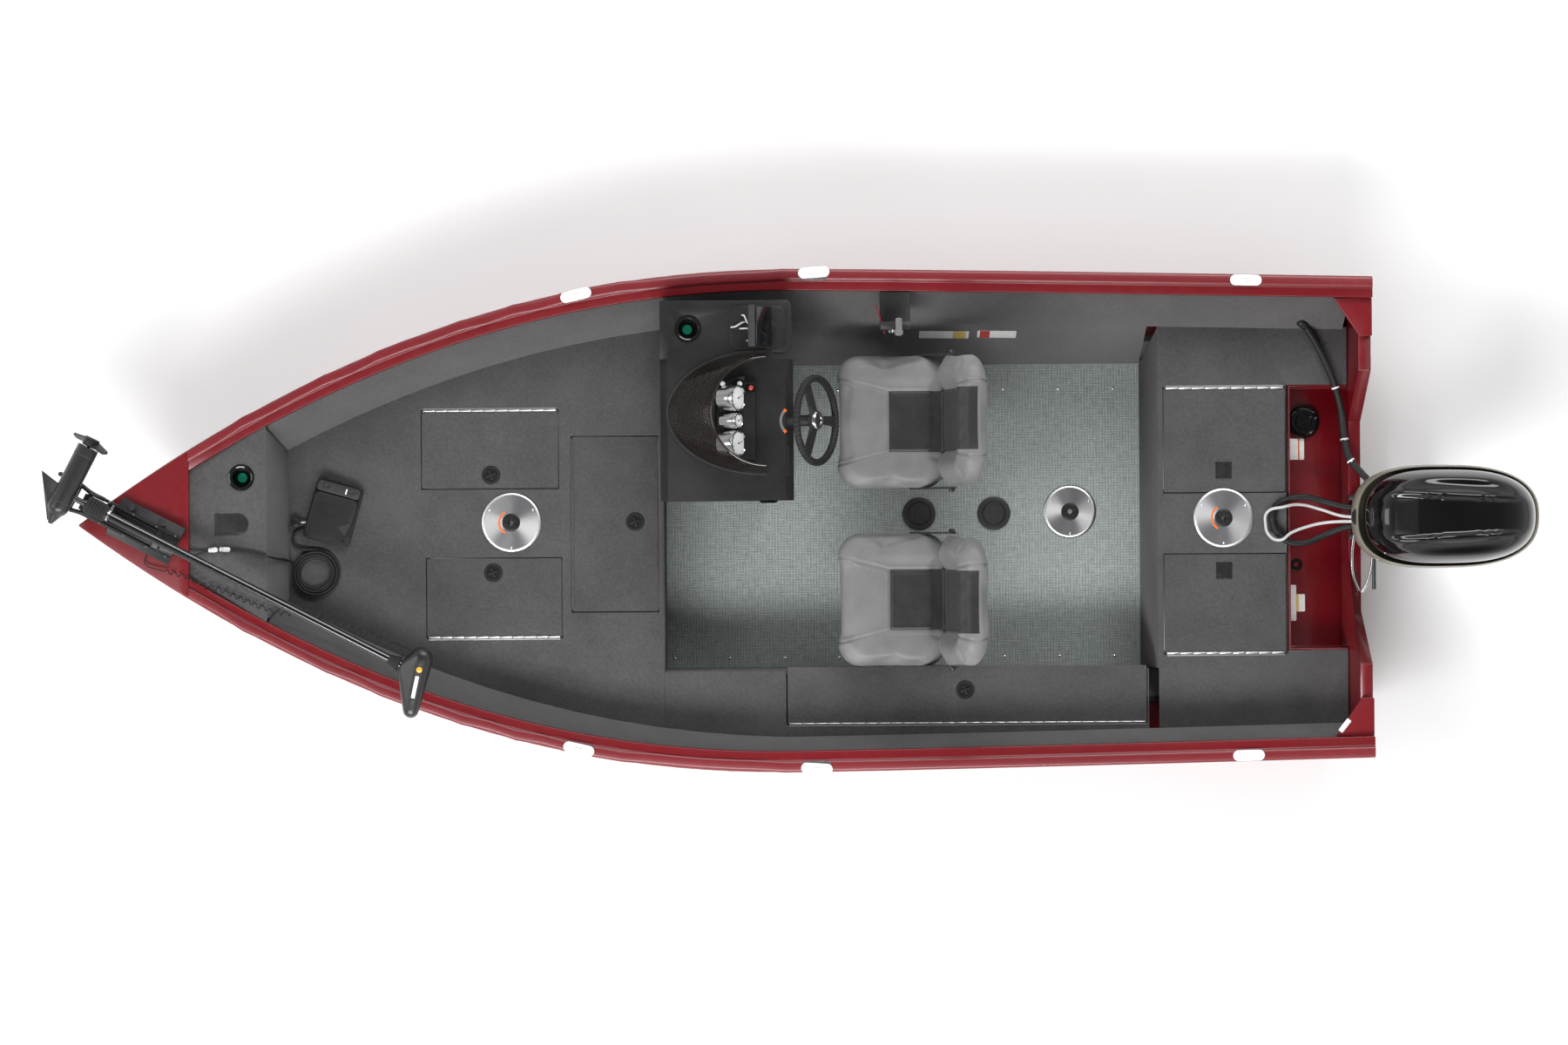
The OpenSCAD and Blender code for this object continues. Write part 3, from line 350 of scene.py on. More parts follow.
def painted(name, base, light, roughness=0.28, coat=0.6, grain=900):
    """Powder coat or gloss paint with soft tone changes, fine orange peel and light wear."""
    s = Shader(name, roughness, Coat_Weight=coat, Coat_Roughness=0.12)
    tone = s.ramp(s.noise(1.7, 4), [(0.3, base), (0.7, light)])
    worn = s.mix(edge_wear(s, 0.5), tone, tuple(min(1, c * 1.5 + 0.03) for c in light))
    s.colour(worn)
    s.rough(s.span(s.noise(23, 5), roughness - 0.07, roughness + 0.1))
    s.bump(s.noise(grain, 2), 0.00012, 0.5)
    return s.material


def carpet(name, dark, light, fleck):
    """Short-loop marine carpet: matted fibres, flecks and lanes left by a vacuum."""
    s = Shader(name, 0.95, Sheen_Weight=0.25, Sheen_Roughness=0.6)
    s.bsdf.inputs["Specular IOR Level"].default_value = 0.15
    fibre = s.noise(520, 6, 0.75)
    tufts = s.cells(430)
    patch = s.noise(5.5, 5, 0.6)
    mottle = s.noise(88, 4, 0.65)
    mixed = s.maths("ADD", s.maths("MULTIPLY", fibre, 0.42), s.maths("MULTIPLY", patch, 0.26))
    base = s.ramp(s.maths("ADD", mixed, s.maths("MULTIPLY", mottle, 0.32)),
                  [(0.32, dark), (0.66, light)])
    speck = s.span(s.noise(900, 2, 0.4), 0.0, 0.55, 0.6, 0.72)
    s.colour(s.mix(speck, base, fleck))
    s.bump(s.maths("ADD", fibre, s.maths("MULTIPLY", tufts, 1.5)), 0.0022, 0.85)
    return s.material


def woven_vinyl(name):
    """Grey-green woven vinyl: basket of warp and weft strands in short dashes."""
    s = Shader(name, 0.62)
    s.bsdf.inputs["Specular IOR Level"].default_value = 0.35

    def strands(direction, scale):
        made = s.node("ShaderNodeTexWave", wave_type="BANDS", bands_direction=direction,
                      Scale=scale, Distortion=0.9, Detail=2.0, Detail_Scale=3.0)
        s.link(s.place, made.inputs["Vector"])
        return made.outputs["Fac"]

    warp = strands("X", 26)
    weft = strands("Y", 30)
    dash_x = s.noise(1, 3, 0.6, s.scaled((22, 105, 1)))
    dash_y = s.noise(1, 3, 0.6, s.scaled((105, 22, 1)))
    over = s.span(s.cells(52), 0, 1, 0.2, 0.75)
    weave = s.maths("ADD", s.maths("MULTIPLY", warp, over),
                    s.maths("MULTIPLY", weft, s.maths("SUBTRACT", 1.0, over)))
    dashes = s.maths("MULTIPLY", s.maths("ADD", dash_x, dash_y), 0.5)
    shade = s.maths("ADD", s.maths("MULTIPLY", weave, 0.28), s.maths("MULTIPLY", dashes, 0.85))
    worn = s.noise(2.2, 4)
    tone = s.ramp(shade, [(0.34, (0.16, 0.182, 0.175)), (0.54, (0.248, 0.276, 0.266)),
                          (0.74, (0.35, 0.384, 0.372))])
    s.colour(s.mix(s.span(worn, 0.0, 0.3, 0.35, 0.75), tone, (0.19, 0.215, 0.207)))
    s.bump(s.maths("ADD", weave, dashes), 0.0012, 0.7)
    return s.material


def plastic(name, dark, light, roughness=0.5, grain=700, depth=0.00035, coat=0.0):
    """Moulded plastic with a fine leather grain."""
    s = Shader(name, roughness, Coat_Weight=coat, Coat_Roughness=0.1)
    s.bsdf.inputs["Specular IOR Level"].default_value = 0.3
    tone = s.ramp(s.noise(6, 5), [(0.3, dark), (0.72, light)])
    scuffs = s.span(s.noise(1, 6, 0.7, s.scaled((14, 260, 60))), 0, 0.35, 0.62, 0.8)
    worn = s.maths("MAXIMUM", scuffs, edge_wear(s, 0.9))
    s.colour(s.mix(s.maths("MULTIPLY", worn, 0.5), tone, tuple(c * 1.8 + 0.02 for c in light)))
    s.rough(s.span(s.noise(45, 4), roughness - 0.09, roughness + 0.1))
    s.bump(s.cells(grain, "SMOOTH_F1"), depth, 0.6)
    return s.material


def vinyl(name, dark, light):
    """Marine seat vinyl: pebble grain, soft creases and a dull sheen."""
    s = Shader(name, 0.46, Sheen_Weight=0.08, Sheen_Roughness=0.5)
    tone = s.ramp(s.noise(9, 5, 0.55), [(0.3, dark), (0.7, light)])
    pores = s.cells(850, "SMOOTH_F1")
    s.colour(s.mix(s.span(pores, 0.3, 0.0, 0.0, 0.3), tone, tuple(c * 0.6 for c in dark)))
    s.rough(s.span(s.noise(60, 3), 0.4, 0.56))
    creases = s.noise(1, 5, 0.7, s.scaled((22, 9, 16)))
    s.bump(creases, 0.0035, 0.35)
    s.bump(pores, 0.0005, 0.6)
    return s.material


def brushed(name, direction="turned", tint=(0.78, 0.78, 0.79), roughness=0.3):
    """Aluminium with turned rings or straight brush lines."""
    s = Shader(name, roughness, 1.0)
    if direction == "turned":
        s.bsdf.inputs["Anisotropic"].default_value = 0.85
        tangent = s.node("ShaderNodeTangent", direction_type="RADIAL", axis="Z")
        s.link(tangent.outputs["Tangent"], s.bsdf.inputs["Tangent"])
        parts = s.node("ShaderNodeSeparateXYZ")
        s.link(s.place, parts.inputs[0])
        radius = s.maths("SQRT", s.maths("ADD", s.maths("POWER", parts.outputs[0], 2.0),
                                         s.maths("POWER", parts.outputs[1], 2.0)))
        combined = s.node("ShaderNodeCombineXYZ")
        s.link(s.maths("MULTIPLY", radius, 900.0), combined.inputs[0])
        lines = s.noise(1, 3, 0.6, combined.outputs[0])
    else:
        lines = s.noise(1, 4, 0.7, s.scaled((8, 700, 700)))
    s.colour(s.ramp(lines, [(0.3, tuple(c * 0.86 for c in tint)), (0.7, tint)]))
    s.rough(s.span(lines, roughness - 0.08, roughness + 0.1))
    s.bump(lines, 0.00015, 0.4)
    return s.material


def gloss(name, dark, light, roughness=0.06):
    """High-gloss moulding with a clear coat and faint swirl marks."""
    s = Shader(name, roughness, Coat_Weight=0.4, Coat_Roughness=0.03)
    s.bsdf.inputs["Specular IOR Level"].default_value = 0.35
    s.colour(s.ramp(s.noise(3.0, 4), [(0.35, dark), (0.65, light)]))
    s.rough(s.span(s.noise(130, 5), roughness, roughness + 0.07))
    s.bump(s.noise(420, 2), 0.00006, 0.5)
    return s.material


def smoked(name):
    """Smoked acrylic that shows what is behind it."""
    s = Shader(name, 0.14)
    s.bsdf.inputs["Specular IOR Level"].default_value = 0.3
    s.colour(s.ramp(s.noise(2.5, 3), [(0.3, (0.01, 0.007, 0.006)), (0.7, (0.022, 0.016, 0.013))]))
    s.bsdf.inputs["Alpha"].default_value = 0.36
    s.bump(s.noise(3, 2), 0.0006, 0.1)
    return s.material


def sticker(name, base, edge=None):
    """Printed vinyl label, blank, a little yellowed."""
    s = Shader(name, 0.4, Coat_Weight=0.3)
    s.colour(s.ramp(s.noise(60, 4), [(0.3, base), (0.75, edge or tuple(c * 0.86 for c in base))]))
    s.bump(s.noise(300, 2), 0.0002, 0.3)
    return s.material


def glowing(name, colour, strength):
    """Lit plastic."""
    s = Shader(name, 0.3)
    s.colour(s.ramp(s.noise(80, 2), [(0.3, tuple(c * 0.5 for c in colour)), (0.7, colour)]))
    s.bsdf.inputs["Emission Color"].default_value = (*colour, 1)
    s.bsdf.inputs["Emission Strength"].default_value = strength
    return s.material


RED = painted("red_powder_coat", (0.135, 0.0008, 0.004), (0.16, 0.001, 0.005), 0.36, 0.15)
# Lighter, greyer copy of the gunwale red for the raised outer bead: painted sheen, standing in for the
# light band that the rail's outward slope catches.
RED_BEAD_PAINTED_SHEEN = painted("red_bead_painted_sheen", (0.15, 0.006, 0.011), (0.175, 0.008, 0.014), 0.4, 0.25)
RED_HULL = painted("red_hull_paint", (0.11, 0.0008, 0.004), (0.14, 0.001, 0.005), 0.3, 0.35)
BOTTOM = painted("bottom_paint", (0.16, 0.16, 0.17), (0.24, 0.24, 0.25), 0.45, 0.1)
CARPET = carpet("charcoal_carpet", (0.028, 0.027, 0.028), (0.112, 0.108, 0.11), (0.22, 0.22, 0.22))
CARPET_LID = carpet("lid_carpet", (0.027, 0.026, 0.027), (0.108, 0.105, 0.107), (0.21, 0.21, 0.21))
CARPET_DARK = carpet("wall_carpet", (0.03, 0.028, 0.028), (0.112, 0.106, 0.107), (0.2, 0.2, 0.2))
VINYL_FLOOR = woven_vinyl("woven_vinyl_floor")
CONSOLE = plastic("console_plastic", (0.009, 0.0085, 0.0085), (0.018, 0.017, 0.017), 0.42, 620, 0.0005)
BLACK = plastic("black_plastic", (0.006, 0.006, 0.006), (0.017, 0.017, 0.017), 0.42)
SATIN_BLACK = painted("satin_black", (0.008, 0.008, 0.008), (0.02, 0.02, 0.021), 0.36, 0.2)
RUBBER = plastic("black_rubber", (0.008, 0.008, 0.008), (0.02, 0.02, 0.02), 0.66, 1100, 0.0004)
JACKET = plastic("cable_jacket", (0.007, 0.007, 0.007), (0.016, 0.016, 0.016), 0.45, 500, 0.0002)
SEAT_GREY = vinyl("seat_vinyl_grey", (0.088, 0.088, 0.089), (0.118, 0.118, 0.119))
TURNED = brushed("turned_aluminium")
BRUSHED = brushed("brushed_aluminium", "straight")
STAINLESS = brushed("stainless", "straight", (0.66, 0.66, 0.67), 0.2)
HINGE = brushed("hinge_aluminium", "straight", (0.6, 0.6, 0.61), 0.36)
GLOSS_BLACK = gloss("gloss_black", (0.0015, 0.0015, 0.0015), (0.004, 0.004, 0.004))
CHAMPAGNE = gloss("champagne_trim", (0.16, 0.145, 0.115), (0.235, 0.215, 0.175), 0.2)
SMOKED = smoked("smoked_acrylic")
WHITE = plastic("white_plastic", (0.62, 0.62, 0.62), (0.75, 0.75, 0.75), 0.35, 500, 0.0001)
LABEL_WHITE = sticker("label_white", (0.78, 0.78, 0.76))
LABEL_ORANGE = sticker("label_orange", (0.72, 0.15, 0.02))
LABEL_YELLOW = sticker("label_yellow", (0.72, 0.5, 0.12))
LABEL_RED = sticker("label_red", (0.45, 0.03, 0.02))
ORANGE_TAPE = sticker("orange_arc", (0.75, 0.17, 0.04))
GREY_HOSE = plastic("grey_hose", (0.42, 0.42, 0.42), (0.58, 0.58, 0.58), 0.35, 500, 0.0002)
CAST = painted("cast_grey", (0.07, 0.07, 0.072), (0.11, 0.11, 0.112), 0.4, 0.1, 500)
TEAL = glowing("teal_glow", (0.008, 0.3, 0.18), 0.28)
SCREEN = gloss("dark_screen", (0.004, 0.005, 0.006), (0.01, 0.012, 0.014), 0.08)
YELLOW_DOT = sticker("yellow_mark", (0.8, 0.42, 0.02))
CHROME = brushed("chrome", "straight", (0.86, 0.86, 0.87), 0.07)
CLEAT = painted("cleat_white", (0.78, 0.78, 0.78), (0.86, 0.86, 0.86), 0.25, 0.6)
BLACK_SOFT = plastic("soft_black", (0.02, 0.02, 0.02), (0.035, 0.035, 0.035), 0.5)
GREY_PLASTIC = plastic("grey_plastic", (0.09, 0.09, 0.09), (0.15, 0.15, 0.15), 0.4)
SMOKED_EDGE = gloss("smoked_edge", (0.012, 0.008, 0.007), (0.03, 0.02, 0.016), 0.1)
SATIN_PANEL = plastic("satin_panel", (0.005, 0.005, 0.0055), (0.01, 0.01, 0.0105), 0.38, 900, 0.0001)
TUBE = brushed("shaft_metal", "straight", (0.1, 0.1, 0.104), 0.16)
SHEET_METAL = brushed("bin_aluminium", "straight", (0.45, 0.46, 0.47), 0.42)


# ---- CAD nodes that keep their shape
def finish_node(name, material, bevel):
    """Gives a CAD node its material, eased edges and smooth shading."""
    thing = nodes[name]
    thing.data.materials.clear()
    thing.data.materials.append(material)
    thing.data.polygons.foreach_set("material_index", [0] * len(thing.data.polygons))
    smooth_all(thing.data)
    if bevel:
        thing.modifiers.new("weld", "WELD").merge_threshold = 0.00002
        ease = thing.modifiers.new("ease", "BEVEL")
        ease.width = bevel
        ease.segments = 2
        ease.limit_method = "ANGLE"
        ease.angle_limit = math.radians(30)
        ease.harden_normals = True


NODE_FINISHES = [
    (BOTTOM, 0.004, "hull_bottom"),
    (RED_HULL, 0.0, "hull_side_port hull_side_starboard bow_stem"),
    (RED_HULL, 0.003, "transom"),
    (RED_HULL, 0.004, "splash_well"),
    (RED, 0.003, "gunwale_port gunwale_starboard bow_cap transom_caps"),
    (CARPET, 0.004, "side_liner_port casting_deck"),
    (CARPET, 0.006, "rod_locker aft_deck"),
    (CARPET, 0.008, "bow_platform"),
    (CARPET_DARK, 0.004, "side_liner_starboard"),
    (CARPET_LID, 0.004, "bow_hatch_starboard bow_hatch_port bow_hatch_centre rod_locker_lid"),
    (CARPET_LID, 0.004, "aft_hatch_starboard aft_hatch_port"),
    (VINYL_FLOOR, 0.0, "cockpit_floor"),
    (SHEET_METAL, 0.002, "storage_bins"),
    (CONSOLE, 0.022, "console_body"),
    (BLACK, 0.0, "trolling_head"),
    (BLACK, 0.001, "cup_holders"),
    (BLACK, 0.0015, "trolling_propeller"),
    (BLACK, 0.002, "steering_column floor_caps"),
    (BLACK, 0.003, "trolling_arm"),
    (BLACK, 0.004, "throttle_control dash_panel display_unit foot_pedal"),
    (SATIN_BLACK, 0.0015, "trolling_pod"),
    (SATIN_BLACK, 0.002, "seat_posts motor_leg gearcase propeller"),
    (SATIN_BLACK, 0.003, "clamp_bracket swivel_bracket"),
    (SATIN_BLACK, 0.004, "trolling_mount"),
    (CAST, 0.004, "engine_block"),
    (TUBE, 0.0, "trolling_tube"),
    (STAINLESS, 0.0015, "cleats"),
    (TURNED, 0.001, "seat_bases"),
    (SMOKED, 0.0, "windscreen"),
    (RUBBER, 0.001, "steering_wheel"),
    (GLOSS_BLACK, 0.0, "motor_cowl"),
    (CHAMPAGNE, 0.002, "motor_pan"),
    (SEAT_GREY, 0.0, "driver_seat_cushion driver_seat_back"),
    (SEAT_GREY, 0.0, "passenger_seat_cushion passenger_seat_back"),
    (JACKET, 0.0, "pedal_cable pedal_cable_coil curly_cord control_cable rigging_hoses"),
]
for finish, eased, names in NODE_FINISHES:
    for node_name in names.split():
        finish_node(node_name, finish, eased)


# ---- cords
def cord_piece(name, points, thickness, material, stands_for, smooth=6):
    """Free cord as one open Bezier spline."""
    data = bpy.data.curves.new(name, "CURVE")
    data.dimensions = "3D"
    data.resolution_u = smooth
    spline = data.splines.new("BEZIER")
    spline.bezier_points.add(len(points) - 1)
    for knot, p in zip(spline.bezier_points, points):
        knot.co = p
        knot.handle_left_type = knot.handle_right_type = "AUTO"
    thing = bpy.data.objects.new(name, data)
    scene.collection.objects.link(thing)
    data.materials.append(material)
    data.bevel_depth = thickness / 2
    data.bevel_resolution = 3
    data.use_fill_caps = True
    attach(thing, "hull")
    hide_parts(*stands_for)
    return thing


def evenly(path, count):
    """That many points an equal way apart along a fine path, with the directions there."""
    lengths = [0.0]
    for a, b in zip(path, path[1:]):
        lengths.append(lengths[-1] + (b - a).length)
    out = []
    i = 0
    for k in range(count):
        target = lengths[-1] * k / (count - 1)
        while i < len(path) - 2 and lengths[i + 1] < target:
            i += 1
        share = (target - lengths[i]) / max(lengths[i + 1] - lengths[i], 1e-9)
        out.append((path[i].lerp(path[i + 1], share), (path[i + 1] - path[i]).normalized()))
    return out


mount_to_coil = metres([
    (2383, 111, 668), (2356, 124, 666), (2322, 126, 656), (2285, 113, 636),
    (2244, 101, 627), (2152, 97, 626), (2070, 112, 627), (2042, 121, 629),
    (2022, 127, 624), (2013, 131, 604), (1999, 138, 500), (1980, 145, 395),
    (1966, 156, 359), (1952, 176, 358)])
coil_to_pedal = metres([
    (1885, 103, 366), (1920, 101, 361), (1952, 86, 357), (1962, 56, 356),
    (1946, 30, 358), (1912, 20, 362)])
mount_to_head = metres([
    (2487, 117, 677), (2500, 140, 676), (2487, 161, 676), (2455, 172, 675),
    (2400, 185, 673), (2345, 202, 670), (2300, 222, 655), (2250, 242, 641),
    (2202, 258, 635), (2130, 290, 634), (2055, 322, 635), (1990, 346, 622),
    (1940, 352, 600), (1880, 354, 584), (1800, 372, 572), (1745, 394, 570),
    (1680, 418, 574), (1598, 444, 592), (1530, 468, 622), (1478, 489, 652),
    (1436, 507, 678), (1412, 517, 709)])
grommet_to_tilt_tube = metres([
    (-2058, -784, 390), (-2085, -762, 372), (-2125, -700, 367), (-2165, -620, 368),
    (-2200, -530, 372), (-2226, -430, 368), (-2236, -330, 370), (-2252, -240, 386),
    (-2300, -175, 404), (-2334, -135, 416), (-2345, -98, 420)])
harness_loop = metres([
    (-2265, -38, 374), (-2225, -44, 366), (-2160, -62, 350), (-2080, -82, 362),
    (-2010, -72, 368), (-1962, -40, 366), (-1950, 8, 366), (-1968, 60, 366),
    (-2020, 100, 368), (-2090, 100, 360), (-2160, 72, 348), (-2225, 46, 362),
    (-2265, 38, 374)])
grey_loop = metres([
    (-2265, 0, 374), (-2220, -6, 360), (-2150, -30, 330), (-2070, -50, 344),
    (-1990, -42, 388), (-1928, -20, 360), (-1922, 25, 357), (-1935, 70, 362),
    (-1975, 90, 388), (-2020, 62, 380), (-2080, 40, 362), (-2150, 24, 344),
    (-2220, 18, 362), (-2265, 18, 374)])


def coil_turns():
    """Spare pedal cable wound from its entry inward, then outward on top of those turns."""
    low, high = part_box("pedal_cable_coil")
    centre = (low + high) / 2
    first, last = mount_to_coil[-1] - centre, coil_to_pedal[0] - centre
    start = math.atan2(first.y, first.x)
    turns = 5 + ((math.atan2(last.y, last.x) - start) % math.tau) / math.tau
    inward = 2.2
    points = []
    for k in range(round(turns * 14) + 1):
        turn = k / 14
        if turn < inward:
            radius = 0.0826 - 0.0226 * turn / inward
        else:
            radius = 0.06 + 0.0377 * (turn - inward) / (turns - inward)
        climb = min(max((turn - inward + 0.2) / 0.4, 0), 1)
        sink = min(max((radius - 0.086) / 0.01, 0), 1) * (climb > 0)
        height = low.z + 0.0057 + 0.0112 * climb * (1 - 0.8 * sink)
        angle = start + math.tau * turn
        radius += 0.0016 * math.sin(2 * angle + 0.5) + 0.0009 * math.sin(3.1 * turn)
        points.append(Vector((centre.x + radius * math.cos(angle),
                              centre.y + radius * math.sin(angle), height)))
    return points


def connector(name, x, y, z, long, turn):
    """White two-lobed plug on the pedal cable."""
    bm = bmesh.new()
    lie = at(x, y, z, turn) @ spin(90, "Y")
    half = long / 2
    add_lathe(bm, [(0, -half), (0.006, -half), (0.0095, -half + 0.006), (0.0095, half * 0.3),
                   (0.007, half * 0.4), (0.007, half * 0.55), (0.01, half * 0.65),
                   (0.01, half - 0.006), (0.006, half), (0, half)], lie, 20)
    return piece(name, bm, WHITE)


plugs = [connector("cable_plug_fore", 2.236, 0.1, 0.631, 0.036, 4),
         connector("cable_plug_aft", 2.19, 0.0985, 0.631, 0.042, -2)]
cord_piece("pedal_cable_run", mount_to_coil[:-1] + coil_turns() + coil_to_pedal[1:], 0.01, JACKET,
           ["pedal_cable", "pedal_cable_coil"])


def curly(route, wire, radius, pitch, lead_in, lead_out, per_turn=13):
    """Retractile cord: a helix about the route, straight at both ends."""
    path = smooth_curve(route, 10)
    total = length_of(path)
    coiled = total - lead_in - lead_out
    turns = round(coiled / pitch)
    stations = evenly(path, round(total / coiled * turns * per_turn))
    side = None
    points = []
    for k, (p, along) in enumerate(stations):
        side = (side or Vector((0, 0, 1)))
        side = (side - along * side.dot(along)).normalized()
        gone = total * k / (len(stations) - 1)
        grow = min(max((gone - lead_in) / 0.03, 0), 1, max((total - lead_out - gone) / 0.03, 0))
        if grow == 0 and k % 16 and k != len(stations) - 1:
            continue
        angle = math.tau * turns * (gone - lead_in) / coiled
        loose = 1 + 0.12 * math.sin(gone * 19) * math.sin(gone * 47)
        points.append(p + grow * radius * loose * (math.cos(angle) * side
                                                   + math.sin(angle) * along.cross(side)))
    return cord_piece("curly_cord_run", points, wire, JACKET, ["curly_cord"],
                      smooth=2)


curly(mount_to_head, 0.0046, 0.0074, 0.031, 0.11, 0.15)


def conduit(name, route, thickness, stands_for, rib=0.009, depth=0.07, boots=()):
    """Corrugated conduit, with smooth swollen boots at (share, half-length, growth)."""
    path = smooth_curve(route, 12)
    rings = round(length_of(path) / rib * 4)
    stations = evenly(path, rings)
    bm = bmesh.new()

    def radius(share):
        swell = 0.0
        for where, half, growth in boots:
            swell = max(swell, growth * min(1, max(0, (half - abs(share - where)) / 0.015)))
        if swell:
            return thickness / 2 * (1 + swell)
        return thickness / 2 * (1 - depth * (round(share * (rings - 1)) % 4 < 2))

    add_tube(bm, [p for p, _ in stations], radius, 14)
    thing = piece(name, bm, JACKET)
    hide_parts(*stands_for)
    return thing


conduit("control_conduit", grommet_to_tilt_tube, 0.028, ["control_cable"],
        boots=[(0.03, 0.03, 0.35), (0.97, 0.03, 0.2)])
conduit("rigging_conduit", harness_loop, 0.026, ["rigging_hoses"], boots=[(0.43, 0.07, 0.16)])
cord_piece("grey_hose_loop", [p + Vector((0, 0, 0.012)) for p in grey_loop], 0.012, GREY_HOSE,
           ["rigging_hoses"], smooth=10)


def ties():
    """Cable ties round the control conduit."""
    path = smooth_curve(grommet_to_tilt_tube, 12)
    stations = evenly(path, 60)
    for k, (index, material) in enumerate(((24, WHITE), (40, GREY_HOSE), (47, WHITE))):
        p, along = stations[index]
        bm = bmesh.new()
        turn = along.to_track_quat("Z", "Y").to_matrix().to_4x4()
        add_lathe(bm, [(0.0145, -0.003), (0.0163, -0.003), (0.0163, 0.003), (0.0145, 0.003),
                       (0.0145, -0.003)], Matrix.Translation(p) @ turn, 24)
        add_box(bm, (0.008, 0.006, 0.007), Matrix.Translation(p + Vector((0, 0, 0.017))) @ turn, 0.001)
        piece(f"conduit_tie_{k}", bm, material)


ties()


# ---- seats
def seat_fabric(name, centre, along_low, along_high, top, half, tilt):
    """Grey vinyl with a charcoal panel between two heights or lengths, on one face only."""
    s = Shader(name, 0.46, Sheen_Weight=0.08, Sheen_Roughness=0.5)
    mapping = s.node("ShaderNodeMapping", vector_type="TEXTURE")
    mapping.inputs["Location"].default_value = centre
    mapping.inputs["Rotation"].default_value = (0, tilt, 0)
    s.link(s.place, mapping.inputs["Vector"])
    split = s.node("ShaderNodeSeparateXYZ")
    s.link(mapping.outputs[0], split.inputs[0])
    x, y, z = split.outputs
    sharp = 0.0006
    inside = s.maths("MULTIPLY", s.span(s.maths("ABSOLUTE", y), 1, 0, half, half + sharp),
                     s.maths("MULTIPLY", s.span(x, 0, 1, along_low, along_low + sharp),
                             s.span(x, 1, 0, along_high, along_high + sharp)))
    panel = s.maths("MULTIPLY", inside, s.span(z, 0, 1, top, top + sharp))
    grey = s.ramp(s.noise(9, 5, 0.55), [(0.3, (0.142, 0.142, 0.144)), (0.7, (0.182, 0.182, 0.184))])
    dark = s.ramp(s.noise(14, 5, 0.6), [(0.3, (0.009, 0.009, 0.01)), (0.7, (0.019, 0.019, 0.02))])
    pores = s.cells(850, "SMOOTH_F1")
    s.colour(s.mix(panel, grey, dark))
    s.rough(s.span(s.noise(60, 3), 0.4, 0.56))
    s.bump(s.noise(1, 5, 0.7, s.scaled((24, 10, 18))), 0.004, 0.3)
    s.bump(pores, 0.0005, 0.6)
    return s.material


def remeshed(thing, voxel):
    thing.modifiers.new("voxel", "REMESH").voxel_size = voxel
    baked(thing)


def baked(thing):
    """Applies the modifiers of a piece to its mesh."""
    graph = bpy.context.evaluated_depsgraph_get()
    mesh = bpy.data.meshes.new_from_object(thing.evaluated_get(graph))
    thing.modifiers.clear()
    old = thing.data
    thing.data = mesh
    bpy.data.meshes.remove(old)


def puffed(thing, pressure, cap):
    """Inflates the mesh as cloth, with no point further than the cap from its start."""
    before = [v.co.copy() for v in thing.data.vertices]
    cloth = thing.modifiers.new("cloth", "CLOTH").settings
    cloth.quality = 5
    cloth.use_pressure = True
    cloth.uniform_pressure_force = pressure
    cloth.effector_weights.gravity = 0
    cloth.tension_stiffness = cloth.compression_stiffness = 25
    cloth.bending_stiffness = 2
    for number in range(1, 21):
        scene.frame_set(number)
    baked(thing)
    scene.frame_set(1)
    for v, start in zip(thing.data.vertices, before):
        moved = v.co - start
        if moved.length > cap:
            v.co = start + moved * (cap / moved.length)


def fitted(thing, low, high):
    """Scales the mesh so that it fills the box."""
    points = [v.co for v in thing.data.vertices]
    now_low = Vector(min(p[i] for p in points) for i in range(3))
    now_high = Vector(max(p[i] for p in points) for i in range(3))
    for p in points:
        for i in range(3):
            share = (p[i] - now_low[i]) / (now_high[i] - now_low[i])
            p[i] = low[i] + share * (high[i] - low[i])


def distance_to(p, a, b):
    """Distance of a plan point from the stretch a-b."""
    ax, ay = a
    bx, by = b
    dx, dy = bx - ax, by - ay
    t = min(max(((p[0] - ax) * dx + (p[1] - ay) * dy) / (dx * dx + dy * dy), 0), 1)
    return math.hypot(p[0] - ax - t * dx, p[1] - ay - t * dy)


def sewn(thing, seams, plan, width=0.0045, depth=0.0055):
    """Pulls the surface in along sewn lines: a cushion's top, or all of a back."""
    normals = [v.normal.copy() for v in thing.data.vertices]
    for v, normal in zip(thing.data.vertices, normals):
        near = min(distance_to(plan(v.co), a, b) for a, b in seams)
        if near < 4 * width and (plan is back_plan or normal.z > -0.2):
            v.co -= normal * depth * (math.exp(-(near / width) ** 2)
                                      - 0.25 * math.exp(-((near - 2.2 * width) / width) ** 2))


def cushion_plan(p):
    return p.x, p.y


def back_plan(p):
    return p.y, p.z


seat_half = 0.265
panel_half = 0.12
cushion_front = 0.326
cushion_rear = -0.1
cushion_thick = 0.11


def cushion_mesh():
    """Seat cushion about the swivel's axis, its underside at zero."""
    bm = bmesh.new()
    shrink = 0.012
    levels = [(0.004, 0.03), (0.022, 0.01), (0.07, 0.008), (0.092, 0.022)]
    rings = []
    for height, inset in levels:
        a = inset + shrink
        outline = rounded_outline(cushion_rear + a, cushion_front - a, -seat_half + a,
                                  seat_half - a, 0.095 - a * 0.6, 8)
        rings.append([(x, y * (0.97 + 0.03 * math.cos((x - 0.05) * 5)), height)
                      for x, y in outline])
    lofted(bm, rings)
    return mesh_of(bm, "cushion")


def shaped_cushion(p):
    """Side and front bolsters stand above the sunken centre."""
    if p.z > 0.06:
        side = min(max((abs(p.y) - panel_half + 0.01) / 0.05, 0), 1)
        front = min(max((p.x - 0.13) / 0.06, 0), 1)
        p.z += 0.01 * side * side * (3 - 2 * side) + 0.004 * front - 0.004
    return p


panel_front = 0.122
cushion_seams = [((panel_front, -panel_half), (panel_front, panel_half))]
for hand in (-1, 1):
    cushion_seams += [((panel_front, hand * panel_half), (cushion_rear, hand * panel_half)),
                      ((panel_front, hand * panel_half), (cushion_front + 0.02, hand * 0.175))]

